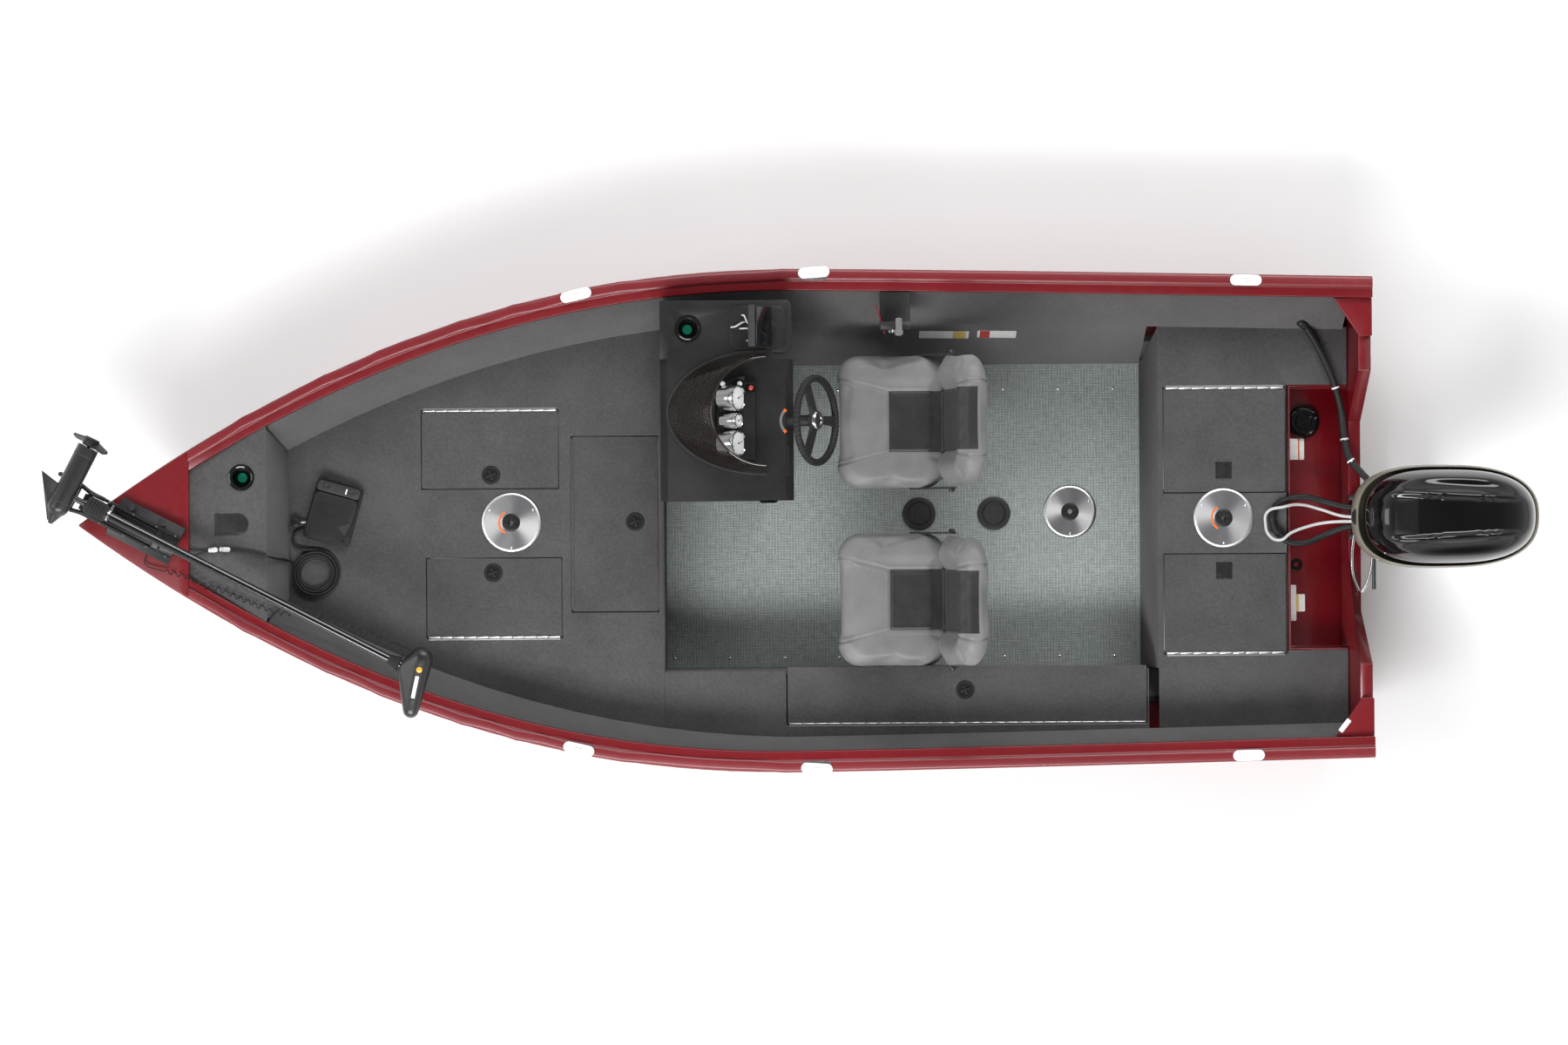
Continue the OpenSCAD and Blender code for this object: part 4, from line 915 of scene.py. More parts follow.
back_half = 0.255
back_low = -0.02
back_high = 0.41
back_front = 0.045
back_rear = -0.05
panel_top = 0.285


def back_mesh():
    """Seat back about its hinge, upright, with a bolster round its sides and top."""
    bm = bmesh.new()
    levels = [(back_rear + 0.012, 0.035), (back_rear + 0.028, 0.012), (0.01, 0.008),
              (back_front - 0.02, 0.02)]
    rings = []
    for forward, a in levels:
        outline = rounded_outline(back_low + a, back_high - a, -back_half + a, back_half - a,
                                  0.105 - 0.5 * a, 9)
        rings.append([(forward, y, z) for z, y in outline])
    lofted(bm, rings)
    return mesh_of(bm, "back")


def shaped_back(p):
    """Wings and head roll come forward round the sunken panel."""
    side = min(max((abs(p.y) - panel_half) / 0.045, 0), 1)
    roll = min(max((p.z - panel_top) / 0.045, 0), 1)
    rim = 1 - (1 - side) * (1 - roll)
    if p.x > 0:
        p.x += 0.016 * rim - 0.022 * (1 - rim)
    p.x += 0.022 * (abs(p.y) / back_half) ** 3
    return p


back_seams = [((-panel_half, panel_top), (panel_half, panel_top))]
for hand in (-1, 1):
    back_seams += [((hand * panel_half, panel_top), (hand * panel_half, -0.03)),
                   ((hand * panel_half, panel_top), (hand * 0.15, back_high + 0.02))]


back_pivot = Vector((-0.12, 0, 0.166))


def make_pad(name, mesh, shape, seams, plan, fabric, cap, low, high):
    thing = bpy.data.objects.new(name, mesh)
    scene.collection.objects.link(thing)
    mesh.materials.append(fabric)
    remeshed(thing, 0.009)
    for v in thing.data.vertices:
        v.co = shape(v.co)
    puffed(thing, 4.0, cap)
    relax = thing.modifiers.new("relax", "SMOOTH")
    relax.factor = 0.5
    relax.iterations = 3
    thing.modifiers.new("finer", "SUBSURF").levels = 1
    baked(thing)
    fitted(thing, low, high)
    sewn(thing, seams, plan)
    smooth_all(thing.data)
    return thing


def moved_to(thing, matrix, body, node):
    for v in thing.data.vertices:
        v.co = matrix @ v.co
    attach(thing, body)
    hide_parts(node)


def seat_hardware(name, matrix, body):
    """Folding arms with their hinge bosses, and the swivel plate under the cushion."""
    bm = bmesh.new()
    hinge = back_pivot
    for hand in (-1, 1):
        outer = hand * (back_half + 0.009)
        outline = [(-0.04, 0.005), (0.04, 0.005), (0.04, 0.036), (-0.045, 0.12),
                   (hinge.x + 0.02, hinge.z + 0.012), (hinge.x + 0.006, hinge.z + 0.022),
                   (hinge.x - 0.012, hinge.z + 0.02), (hinge.x - 0.02, hinge.z),
                   (hinge.x - 0.016, hinge.z - 0.02)]
        stand = matrix @ at(0, outer + 0.004, 0) @ spin(90, "X")
        add_prism(bm, outline, 0, 0.008, stand, 0.0015)
        boss = matrix @ at(hinge.x, outer + hand * 0.004, hinge.z)
        boss = boss @ spin(-90 * hand, "X")
        add_lathe(bm, [(0, 0.012), (0.008, 0.012), (0.011, 0.009), (0.013, 0.004), (0.013, 0)],
                  boss, 24)
    add_lathe(bm, [(0, -0.02), (0.088, -0.02), (0.09, -0.018), (0.09, -0.013), (0.06, -0.011),
                   (0.06, -0.006), (0.09, -0.004), (0.09, 0.003), (0, 0.003)], matrix, 48)
    piece(name, bm, SATIN_BLACK, body)
    bm = bmesh.new()
    shell = matrix @ at(-0.108, 0, 0.048) @ Matrix.Rotation(-0.5, 4, "Y")
    add_box(bm, (0.05, 2 * seat_half - 0.07, 0.012), shell, 0.005, 3)
    piece(name.replace("arms", "shell"), bm, BLACK_SOFT, body)


def seats():
    lean_degrees = 12
    for who in ("driver", "passenger"):
        axis = pivot(f"{who}_seat_swivel")
        base = Vector((axis.x, axis.y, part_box(f"{who}_seat_cushion")[0].z + 0.02))
        hinge = base + back_pivot
        fabric = seat_fabric(f"{who}_cushion_vinyl", tuple(base), -0.2, panel_front, 0.07,
                             panel_half, 0)
        back_fabric = seat_fabric(f"{who}_back_vinyl", tuple(hinge), 0.0, 0.3, -0.05,
                                  panel_half, -math.radians(lean_degrees))
        cushion = make_pad(f"{who}_cushion", cushion_mesh(), shaped_cushion, cushion_seams,
                           cushion_plan, fabric, 0.022,
                           (cushion_rear, -seat_half + 0.002, 0.0015),
                           (cushion_front, seat_half - 0.002, cushion_thick + 0.004))
        moved_to(cushion, Matrix.Translation(base), f"{who}_seat", f"{who}_seat_cushion")
        back = make_pad(f"{who}_back_pad", back_mesh(), shaped_back, back_seams, back_plan,
                        back_fabric, 0.022, (back_rear, -back_half + 0.001, back_low),
                        (back_front + 0.03, back_half - 0.001, back_high))
        moved_to(back, Matrix.Translation(hinge) @ spin(-lean_degrees, "Y"), f"{who}_back",
                 f"{who}_seat_back")
        seat_hardware(f"{who}_seat_arms", Matrix.Translation(base), f"{who}_seat")


seats()


# ---- rails and cleats
def rail_edge(node, hand):
    """(x, outer y, top z) along a gunwale, read from the CAD node's own sections."""
    rows = {}
    for v in nodes[node].data.vertices:
        rows.setdefault(round(v.co.x, 2), []).append(v.co)
    edge = []
    for x in sorted(rows):
        top = max(p.z for p in rows[x])
        outer = max((p.y * hand for p in rows[x] if p.z > top - 0.012), default=0)
        if len(rows[x]) >= 4:
            edge.append((x, outer, top))
    return edge


def rail_ridges():
    """Raised outer bead that runs the length of each gunwale. The bead's shape is real; its lighter,
    greyer red is painted sheen of the rail's outer band.
    """
    for node, hand, name in (("gunwale_port", 1, "rail_bead_painted_sheen_port"),
                             ("gunwale_starboard", -1, "rail_bead_painted_sheen_starboard")):
        edge = rail_edge(node, hand)
        profile = [(-0.001, -0.01), (0.0015, -0.003), (-0.003, 0.0015), (-0.01, 0.0035),
                   (-0.03, 0.0042), (-0.038, 0.003), (-0.042, -0.001)]
        bm = bmesh.new()
        rows = [[bm.verts.new((x, hand * (y + out), z + up)) for out, up in profile]
                for x, y, z in edge]
        strip(bm, rows)
        for row in (rows[0], rows[-1]):
            bm.faces.new(row)
        piece(name, bm, RED_BEAD_PAINTED_SHEEN, angle=50)


rail_ridges()


def cleat_tops():
    """Recessed eyes on the oval gunwale cleats."""
    for hand, row in ((1, "port"), (-1, "starboard")):
        edge = rail_edge(f"gunwale_{row}", hand)
        for number, x in enumerate((-1.822, -0.123, 0.812)):
            near = min(edge, key=lambda e: abs(e[0] - x))
            after = min(edge, key=lambda e: abs(e[0] - x - 0.25))
            slope = math.degrees(math.atan2(after[1] - near[1], after[0] - near[0]))
            y = hand * (near[1] - 0.022 + (x - near[0]) * math.tan(math.radians(slope)))
            z = near[2] + 0.0052 + (0.0015 if x > 0 else 0)
            bm = bmesh.new()
            turn = at(x, y, z, hand * slope)
            outline = []
            for a in (math.tau * k / 32 for k in range(32)):
                end = math.copysign(1, math.cos(a)) * (abs(math.cos(a)) > 1e-6)
                outline.append((0.0405 * end + 0.0215 * math.cos(a), 0.0215 * math.sin(a)))
            add_prism(bm, outline, -0.004, 0.0035, turn, 0.002)
            for side in (-0.03, 0.03):
                add_lathe(bm, [(0, 0.0048), (0.0035, 0.0046), (0.0045, 0.0034)],
                          turn @ at(side, 0, 0), 12)
            add_tube(bm, smooth_curve([turn @ Vector(p) for p in (
                (-0.026, 0, 0.002), (-0.013, 0, 0.0065), (0.013, 0, 0.0065), (0.026, 0, 0.002))], 5),
                0.0032, 8)
            piece(f"cleat_eye_{row}_{number}", bm, CLEAT)


cleat_tops()


# ---- deck fittings
def hinge_strip(name, x0, x1, y, inward):
    """Piano hinge: a leaf on the deck side and knuckles along the pin."""
    bm = bmesh.new()
    z = deck_z + 0.002
    leaf = 0.007
    add_box(bm, (x1 - x0, leaf, 0.0012),
            at((x0 + x1) / 2, y - inward * (leaf / 2 + 0.004), deck_z + 0.001), 0.0004)
    count = round((x1 - x0) / 0.05)
    step = (x1 - x0) / count
    for k in range(count):
        add_lathe(bm, [(0.0043, 0.001), (0.0048, 0.002), (0.0048, step - 0.002),
                       (0.0043, step - 0.001)],
                  at(x0 + k * step, y, z) @ spin(90, "Y"), 12)
    piece(name, bm, HINGE)


def round_latch(name, x, y, body):
    """Flush compression latch with a four-leaf turn knob."""
    bm = bmesh.new()
    base = at(x, y, deck_z, 20)
    add_lathe(bm, [(0, 0.002), (0.024, 0.002), (0.026, 0.0045), (0.034, 0.0045), (0.037, 0.002),
                   (0.037, -0.001)], base, 40)
    for k in range(2):
        add_box(bm, (0.04, 0.009, 0.007),
                base @ spin(90 * k, "Z") @ at(0, 0, 0.005), 0.002)
    add_lathe(bm, [(0, 0.011), (0.006, 0.0105), (0.008, 0.008), (0.008, 0.003)], base, 20)
    piece(name, bm, BLACK, body)


def square_latch(name, x, y, body):
    """Recessed pull with a finger lip."""
    bm = bmesh.new()
    half = 0.029
    for dx, dy, a, b in ((0, half, 0.064, 0.006), (0, -half, 0.064, 0.006),
                         (half, 0, 0.006, 0.064), (-half, 0, 0.006, 0.064)):
        add_box(bm, (a, b, 0.004), at(x + dx, y + dy, deck_z + 0.0015), 0.0012)
    add_box(bm, (0.052, 0.052, 0.0012), at(x, y, deck_z + 0.0004), 0.0004)
    add_lathe(bm, [(0.01, 0.0012), (0.012, 0.003), (0.019, 0.003), (0.021, 0.001)],
              at(x, y, deck_z, 90 if y < 0 else -90), 20, math.pi)
    piece(name, bm, BLACK, body)


def deck_fittings():
    for name, node, side in (("hinge_bow_starboard", "bow_hatch_starboard", -1),
                             ("hinge_bow_port", "bow_hatch_port", 1),
                             ("hinge_locker", "rod_locker_lid", 1),
                             ("hinge_aft_starboard", "aft_hatch_starboard", -1),
                             ("hinge_aft_port", "aft_hatch_port", 1)):
        low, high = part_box(node)
        axis = pivot({"rod_locker_lid": "rod_locker_hinge"}.get(node, node + "_hinge"))
        hinge_strip(name, low.x + 0.006, high.x - 0.006, axis.y, -side)
    for name, node, x, y in (("latch_bow_starboard", "bow_hatch_starboard", 1.17, -0.19),
                             ("latch_bow_port", "bow_hatch_port", 1.163, 0.2),
                             ("latch_bow_centre", "bow_hatch_centre", 0.595, 0.0),
                             ("latch_locker", "rod_locker_lid", -0.72, 0.68)):
        round_latch(name, x, y, node)
    square_latch("latch_aft_starboard", -1.758, -0.19, "aft_hatch_starboard")
    square_latch("latch_aft_port", -1.758, 0.21, "aft_hatch_port")


deck_fittings()


def base_plate(name, x, y, z, d, arc):
    """Turned seat base about its own centre, with its bushing, screws and an orange arc."""
    r = d / 2
    bm = bmesh.new()
    add_lathe(bm, [(0.036, 0.0094), (0.04, 0.009), (r - 0.012, 0.009), (r - 0.004, 0.0078),
                   (r + 0.0006, 0.004), (r + 0.0006, 0.0)], sides=96)
    disc = piece(name, bm, TURNED)
    disc.parent = None
    disc.location = (x, y, z)
    bpy.context.view_layer.update()
    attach(disc, "hull")
    bm = bmesh.new()
    here = at(x, y, z)
    add_lathe(bm, [(0.0098, -0.02), (0.0098, 0.01), (0.012, 0.0125), (0.028, 0.0125),
                   (0.0335, 0.011), (0.0362, 0.0088)], here, 48)
    for k in range(6):
        add_lathe(bm, [(0.012, 0.0125), (0.013, 0.0145), (0.026, 0.0145), (0.027, 0.0125)],
                  here @ spin(360 * k / 6, "Z"), 6, math.tau / 9)
    piece(name + "_hub", bm, BLACK)
    bm = bmesh.new()
    for k in range(3):
        screw = here @ spin(360 * (k + 0.75) / 3, "Z")
        screw = screw @ at(r - 0.018, 0, 0.009)
        add_lathe(bm, [(0, 0.0016), (0.003, 0.0012), (0.0045, 0)], screw, 14)
    piece(name + "_screws", bm, STAINLESS)
    if arc:
        bm = bmesh.new()
        turn = here @ spin(-62, "Z")
        add_lathe(bm, [(0.044, 0.0091), (0.044, 0.0096), (0.052, 0.0096), (0.052, 0.0091)],
                  turn, 24, math.radians(124))
        piece(name + "_arc", bm, ORANGE_TAPE)


deck_base_size, floor_base_size = 0.237, 0.214
base_plate("bow_base", 1.09, 0.0, deck_z, deck_base_size, True)
base_plate("floor_base", -1.17, -0.03, floor_z, floor_base_size, False)
base_plate("aft_base", -1.7565, 0.0, deck_z, deck_base_size, True)


def floor_cap_rings():
    bm = bmesh.new()
    for x in (-0.553, -0.859):
        here = at(x, -0.025, floor_z + 0.006)
        add_lathe(bm, [(0.047, 0.0003), (0.05, 0.003), (0.06, 0.0034), (0.066, 0.001)], here, 48)
        add_lathe(bm, [(0, 0.0016), (0.042, 0.0016), (0.044, 0.0002)], here, 48)
        for k in range(4):
            add_box(bm, (0.006, 0.06, 0.0016), here @ at(-0.027 + 0.018 * k, 0, 0.002),
                    0.0006)
    piece("floor_cap_rings", bm, BLACK_SOFT)


def cup_lights():
    """Glow in the foot of each cup holder, and its rim."""
    for name, x, y, z in (("bow_cup_glow", 2.126, -0.183, platform_z),
                          ("console_cup_glow", 0.37, -0.75, console_z)):
        bm = bmesh.new()
        add_lathe(bm, [(0, -0.057), (0.012, -0.0575), (0.019, -0.06)], at(x + 0.004, y, z), 32)
        piece(name, bm, TEAL)
        bm = bmesh.new()
        add_lathe(bm, [(0.0385, -0.004), (0.0395, 0.0045), (0.044, 0.0062), (0.0505, 0.0045),
                       (0.0515, 0.001)], at(x, y, z), 48)
        piece(name.replace("glow", "rim"), bm, GLOSS_BLACK)


def bow_handle():
    bm = bmesh.new()
    outline = ([(2.231, -0.041), (2.231, 0.041)]
               + [(2.14 - 0.041 * math.sin(a), 0.041 * math.cos(a))
                  for a in (math.pi * k / 12 for k in range(13))])
    add_prism(bm, outline, platform_z - 0.002, platform_z + 0.0045, bevel=0.003)
    add_lathe(bm, [(0.012, 0.0045), (0.013, 0.008), (0.017, 0.008), (0.018, 0.0045)],
              at(2.16, 0, platform_z, 90), 20, math.pi)
    add_box(bm, (0.08, 0.058, 0.002), at(2.18, 0, platform_z + 0.005), 0.0008)
    piece("bow_handle", bm, BLACK)


def well_cap():
    """Filler cap and drain of the splash well."""
    bm = bmesh.new()
    cap = at(-2.096, -0.385, 0.235)
    add_lathe(bm, [(0, 0.012), (0.03, 0.012), (0.034, 0.006), (0.048, 0.005), (0.056, 0.01),
                   (0.064, 0.004), (0.0655, 0)], cap, 48)
    add_box(bm, (0.07, 0.014, 0.018), cap @ Matrix.Rotation(0.5, 4, "Z")
            @ at(0, 0, 0.018), 0.005)
    for k in range(24):
        add_box(bm, (0.003, 0.006, 0.006), cap @ spin(360 * k / 24, "Z")
                @ at(0.061, 0, 0.005), 0.001)
    add_lathe(bm, [(0.01, -0.001), (0.013, 0.003), (0.024, 0.003), (0.026, -0.001)],
              at(-2.065, 0.19, 0.2255), 32)
    piece("well_cap", bm, GLOSS_BLACK)


def floor_screws():
    """Screws down both edges of the floor, save under the console."""
    bm = bmesh.new()
    for x in [-1.35 + 0.225 * k for k in range(9)]:
        for y in (-0.535, 0.562):
            if x > -0.05 and y < 0:
                continue
            add_lathe(bm, [(0, 0.002), (0.0035, 0.0016), (0.0055, 0.0002)], at(x, y, floor_z), 12)
    piece("floor_screws", bm, STAINLESS)


floor_cap_rings()
cup_lights()
bow_handle()
well_cap()
floor_screws()


def label(name, x, y, z, long, wide, turn, base, bands=(), lie=None):
    """Blank sticker with plain colour bands. bands are (offset, width, material)."""
    place_at = lie or at(x, y, z, turn)
    bm = bmesh.new()
    add_prism(bm, rounded_outline(-long / 2, long / 2, -wide / 2, wide / 2, 0.004), 0, 0.0008,
              place_at, 0.0003)
    piece(name, bm, base)
    for k, (offset, width, material) in enumerate(bands):
        bm = bmesh.new()
        add_prism(bm, rounded_outline(offset - width / 2, offset + width / 2, -wide / 2 + 0.001,
                                      wide / 2 - 0.001, 0.001, 2), 0.0008, 0.0013, place_at, 0.0002)
        piece(f"{name}_band_{k}", bm, material)


def wall_label(name, x, y, long, wide, bands):
    """Blank sticker lying on the starboard side wall."""
    wall = nodes["side_liner_starboard"]
    hit, spot, normal, _ = wall.ray_cast(Vector((x, y, 2)), Vector((0, 0, -1)))
    if not hit:
        return
    up = normal.normalized()
    side = up.cross(Vector((1, 0, 0))).normalized()
    lie = Matrix((side.cross(up), side, up)).transposed().to_4x4()
    lie.translation = spot + up * 0.0004
    label(name, 0, 0, 0, long, wide, 0, LABEL_WHITE, bands, lie)


wall_label("wall_label_fore", -0.648, -0.745, 0.2, 0.06, [(-0.062, 0.052, LABEL_YELLOW)])
wall_label("wall_label_aft", -0.86, -0.745, 0.156, 0.06, [(0.048, 0.04, LABEL_RED)])
label("well_label_starboard", -2.062, -0.275, 0.2256, 0.075, 0.085, 0, LABEL_WHITE,
      [(0.031, 0.01, LABEL_ORANGE), (-0.016, 0.006, LABEL_ORANGE)])
label("well_label_port", -2.046, 0.345, 0.2256, 0.036, 0.145, 0, LABEL_WHITE,
      [(0.008, 0.008, LABEL_ORANGE)])
label("well_label_port_small", -2.082, 0.345, 0.2256, 0.034, 0.07, 0, LABEL_WHITE,
      [(0.012, 0.01, LABEL_YELLOW)])
label("gusset_label", -2.205, 0.822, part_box("transom_caps")[1].z + 0.0002,
      0.02, 0.06, -38, LABEL_WHITE)


# ---- console
helm_y = pivot("steering_wheel_turn").y
wheel_rake = 118
wheel_frame = at(-0.128, helm_y, 0.735) @ spin(wheel_rake, "Y")
screen_middle = (0.067, helm_y - 0.034)
screen_reach, screen_half, screen_height = 0.388, 0.242, 0.13
dial_rake = -57
wheel_ring = 0.164


def gauge(name, y, r):
    """White-faced dial in a chrome trumpet with its visor."""
    frame_at = at(0.2, y, console_z + 0.044) @ spin(dial_rake, "Y")
    bm = bmesh.new()
    add_lathe(bm, [(r + 0.0005, -0.04), (r + 0.002, -0.004), (r + 0.003, 0.02),
                   (r + 0.001, 0.0335), (r - 0.004, 0.0345), (r - 0.0065, 0.0322)], frame_at, 64)
    piece(name + "_bezel", bm, CHROME)
    bm = bmesh.new()
    add_lathe(bm, [(0, 0.0312), (r - 0.007, 0.031), (r - 0.0065, 0.0302)], frame_at, 48)
    piece(name + "_face", bm, WHITE)
    bm = bmesh.new()
    for k in range(11):
        mark = frame_at @ spin(-30 + 24 * k, "Z")
        mark = mark @ at(r - 0.012, 0, 0.0316)
        add_box(bm, (0.006 if k % 5 == 0 else 0.0035, 0.0014, 0.0005), mark, 0.0001, 1)
    add_lathe(bm, [(0, 0.0335), (0.003, 0.033), (0.004, 0.0315)], frame_at, 16)
    piece(name + "_marks", bm, BLACK)
    bm = bmesh.new()
    add_box(bm, (r * 0.62, 0.0014, 0.0007), frame_at @ spin(200, "Z")
            @ at(r * 0.3, 0, 0.0325), 0.0002, 1)
    piece(name + "_needle", bm, LABEL_RED)


def toggle(name, x, y, cap):
    """Rocker in a dark bezel, with a short lever and a round cap."""
    here = at(x, y, console_z + 0.03)
    bm = bmesh.new()
    add_prism(bm, rounded_outline(-0.02, 0.02, -0.014, 0.014, 0.005), -0.001, 0.004, here, 0.0015)
    add_tube(bm, [here @ Vector((0, 0, 0.002)), here @ Vector((-0.004, 0, 0.018))], 0.0035, 12)
    piece(name, bm, GLOSS_BLACK)
    bm = bmesh.new()
    add_lathe(bm, [(0.0055, 0.012), (0.0095, 0.015), (0.0098, 0.019), (0.006, 0.0225), (0, 0.0235)],
              here @ Matrix.Rotation(-0.2, 4, "Y"), 20)
    piece(name + "_cap", bm, cap)


def windscreen_arc(grow, level, count=48):
    """Half-oval of the screen, as the CAD's, drawn in by height."""
    x, y = screen_middle
    return [Vector((x + (1 - 0.45 * level) * (screen_reach + grow) * math.sin(a),
                    y + (1 - 0.12 * level) * (screen_half + grow) * math.cos(a),
                    console_z + screen_height * level))
            for a in (math.pi * k / count for k in range(count + 1))]


def screen():
    bm = bmesh.new()
    rows = []
    for level, grow in ((0.0, 0.0), (0.3, 0.006), (0.6, 0.006), (0.85, 0.002), (1.0, -0.003)):
        rows.append([[bm.verts.new(p) for p in windscreen_arc(grow - inset, level)]
                     for inset in (0, 0.0045)])
    for low, high in zip(rows, rows[1:]):
        for face in (0, 1):
            for k in range(len(low[0]) - 1):
                bm.faces.new([low[face][k], low[face][k + 1], high[face][k + 1], high[face][k]])
    for row in (rows[0], rows[-1]):
        for k in range(len(row[0]) - 1):
            bm.faces.new([row[0][k], row[0][k + 1], row[1][k + 1], row[1][k]])
    for end in (0, -1):
        for low, high in zip(rows, rows[1:]):
            bm.faces.new([low[0][end], low[1][end], high[1][end], high[0][end]])
    pane = piece("windscreen_pane", bm, SMOKED, angle=60)
    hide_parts("windscreen")
    bm = bmesh.new()
    add_tube(bm, windscreen_arc(-0.002, 0.012), 0.0075, 10)
    piece("windscreen_gasket", bm, RUBBER)
    bm = bmesh.new()
    add_tube(bm, windscreen_arc(-0.005, 1.0), 0.0042, 10)
    piece("windscreen_edge", bm, SMOKED_EDGE)


def dials():
    for name, offset, r in (("gauge_outer", -0.088, 0.05), ("gauge_middle", 0.0, 0.03),
                            ("gauge_inner", 0.088, 0.05)):
        gauge(name, helm_y + offset, r)
    toggle("toggle_fore", 0.238, helm_y - 0.162 + 0.018, WHITE)
    toggle("toggle_aft", 0.172, helm_y - 0.162 + 0.018, WHITE)
    toggle("toggle_red", 0.128, helm_y - 0.15 + 0.022, LABEL_RED)


def dash_cowling():
    """Low wall that rises round the dials."""
    bm = bmesh.new()
    rows = []
    for k in range(25):
        a = math.pi * k / 24
        x = 0.15 + 0.135 * math.sin(a)
        y = helm_y + 0.172 * math.cos(a)
        rows.append([bm.verts.new((x + 0.012 * math.sin(a), y + 0.012 * math.cos(a), console_z)),
                     bm.verts.new((x + 0.004 * math.sin(a), y, console_z + 0.04)),
                     bm.verts.new((x - 0.012 * math.sin(a), y, console_z + 0.046)),
                     bm.verts.new((x - 0.022 * math.sin(a), y - 0.014 * math.cos(a), console_z + 0.032))])
    strip(bm, rows)
    piece("dash_cowling", bm, CONSOLE, angle=60)


def wing():
    """The wing's aft end, its tray and leads, and the display's glass and rim."""
    bm = bmesh.new()
    add_prism(bm, rounded_outline(-0.034, 0.07, -0.862, -0.655, 0.026), console_z - 0.07,
              console_z - 0.0012, bevel=0.006)
    piece("console_wing", bm, CONSOLE)
    bm = bmesh.new()
    add_prism(bm, rounded_outline(-0.012, 0.208, -0.84, -0.668, 0.03), console_z - 0.002,
              console_z + 0.003, bevel=0.002)
    piece("tray", bm, BLACK)
    tilt = at(0.06, -0.755, console_z + 0.02) @ spin(35, "Y")
    bm = bmesh.new()
    add_prism(bm, rounded_outline(0.004, 0.106, -0.074, 0.074, 0.006), 0, 0.0035,
              tilt @ at(-0.02, 0, 0) @ spin(-90, "Y"), 0.001)
    piece("display_glass", bm, SCREEN)
    bm = bmesh.new()
    for y in (-0.0785, 0.0785):
        add_box(bm, (0.03, 0.004, 0.106), tilt @ at(-0.003, y, 0.056), 0.0015)
    add_box(bm, (0.03, 0.16, 0.004), tilt @ at(-0.003, 0, 0.1085), 0.0015)
    piece("display_rim", bm, BLACK_SOFT)
    bm = bmesh.new()
    for k, (dx, dy) in enumerate(((0.035, 0.03), (0.05, 0.0), (0.03, -0.035), (0.06, 0.02))):
        start = Vector((0.105 + 0.012 * k, -0.735 - 0.014 * k, console_z + 0.002))
        add_tube(bm, smooth_curve([start, start + Vector((dx * 0.3, dy * 0.3, 0.02)),
                                   start + Vector((dx * 0.7, dy, 0.022)),
                                   start + Vector((dx, dy * 1.1, 0.002))], 8), 0.0032, 10)
    piece("tray_leads", bm, GREY_HOSE)


def console_trim():
    """Arc at the column, dark pocket on the sloping face, socket on the port side."""
    bm = bmesh.new()
    add_lathe(bm, [(0.052, 0.0005), (0.053, 0.0035), (0.063, 0.0035), (0.064, 0.0005)],
              at(-0.048, helm_y, console_z, -50), 24, math.radians(100))
    piece("column_badge", bm, BRUSHED)
    bm = bmesh.new()
    for sweep in (-50, 38):
        add_lathe(bm, [(0.0515, 0.0008), (0.053, 0.0042), (0.063, 0.0042), (0.0645, 0.0008)],
                  at(-0.048, helm_y, console_z, sweep), 6, math.radians(12))
    piece("column_badge_ends", bm, LABEL_ORANGE)
    slope = at(-0.024, helm_y + 0.155, console_z - 0.03) @ spin(-62, "Y")
    bm = bmesh.new()
    add_prism(bm, rounded_outline(-0.026, 0.026, -0.062, 0.062, 0.008), -0.002, 0.004, slope, 0.002)
    add_prism(bm, rounded_outline(-0.02, 0.02, -0.055, 0.055, 0.006), 0.004, 0.0055, slope, 0.0005)
    piece("console_pocket", bm, RUBBER)
    bm = bmesh.new()
    side = at(0.06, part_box("console_body")[1].y, console_z - 0.085) @ spin(-90, "X")
    add_lathe(bm, [(0.034, -0.001), (0.036, 0.006), (0.03, 0.01), (0.026, 0.006), (0, 0.005)],
              side, 40)
    piece("console_socket", bm, GLOSS_BLACK)


dials()
screen()
dash_cowling()
wing()
console_trim()


def wheel_details():
    """Silver hub ring, padded spokes and a stitched grip on the driver's side."""
    bm = bmesh.new()
    add_lathe(bm, [(0.016, -0.01), (0.018, -0.0135), (0.034, -0.0125), (0.038, -0.007),
                   (0.0385, -0.002)], wheel_frame, 48)
    piece("wheel_hub_ring", bm, STAINLESS, "steering_wheel")
    bm = bmesh.new()
    add_lathe(bm, [(0, -0.015), (0.012, -0.0145), (0.0165, -0.01)], wheel_frame, 32)
    for k in range(3):
        spoke = wheel_frame @ spin(360 * k / 3, "Z")
        outline = [(0.03, -0.02), (0.075, -0.013), (0.12, -0.014), (wheel_ring + 0.002, -0.026),
                   (wheel_ring + 0.002, 0.026), (0.12, 0.014), (0.075, 0.013), (0.03, 0.02)]
        flip = spoke @ spin(180, "X")
        add_prism(bm, outline, -0.012, 0.006, flip, 0.005, 3)
    for k in range(60):
        a = math.tau * k / 60
        grip = wheel_frame @ Matrix.Rotation(a, 4, "Z") @ at(wheel_ring, 0, 0)
        grip = grip @ spin(90, "X")
        add_lathe(bm, [(0.0132, -0.0045), (0.0146, -0.0025), (0.0146, 0.0025), (0.0132, 0.0045)],
                  grip, 16)
    piece("wheel_grip", bm, RUBBER, "steering_wheel")


wheel_details()


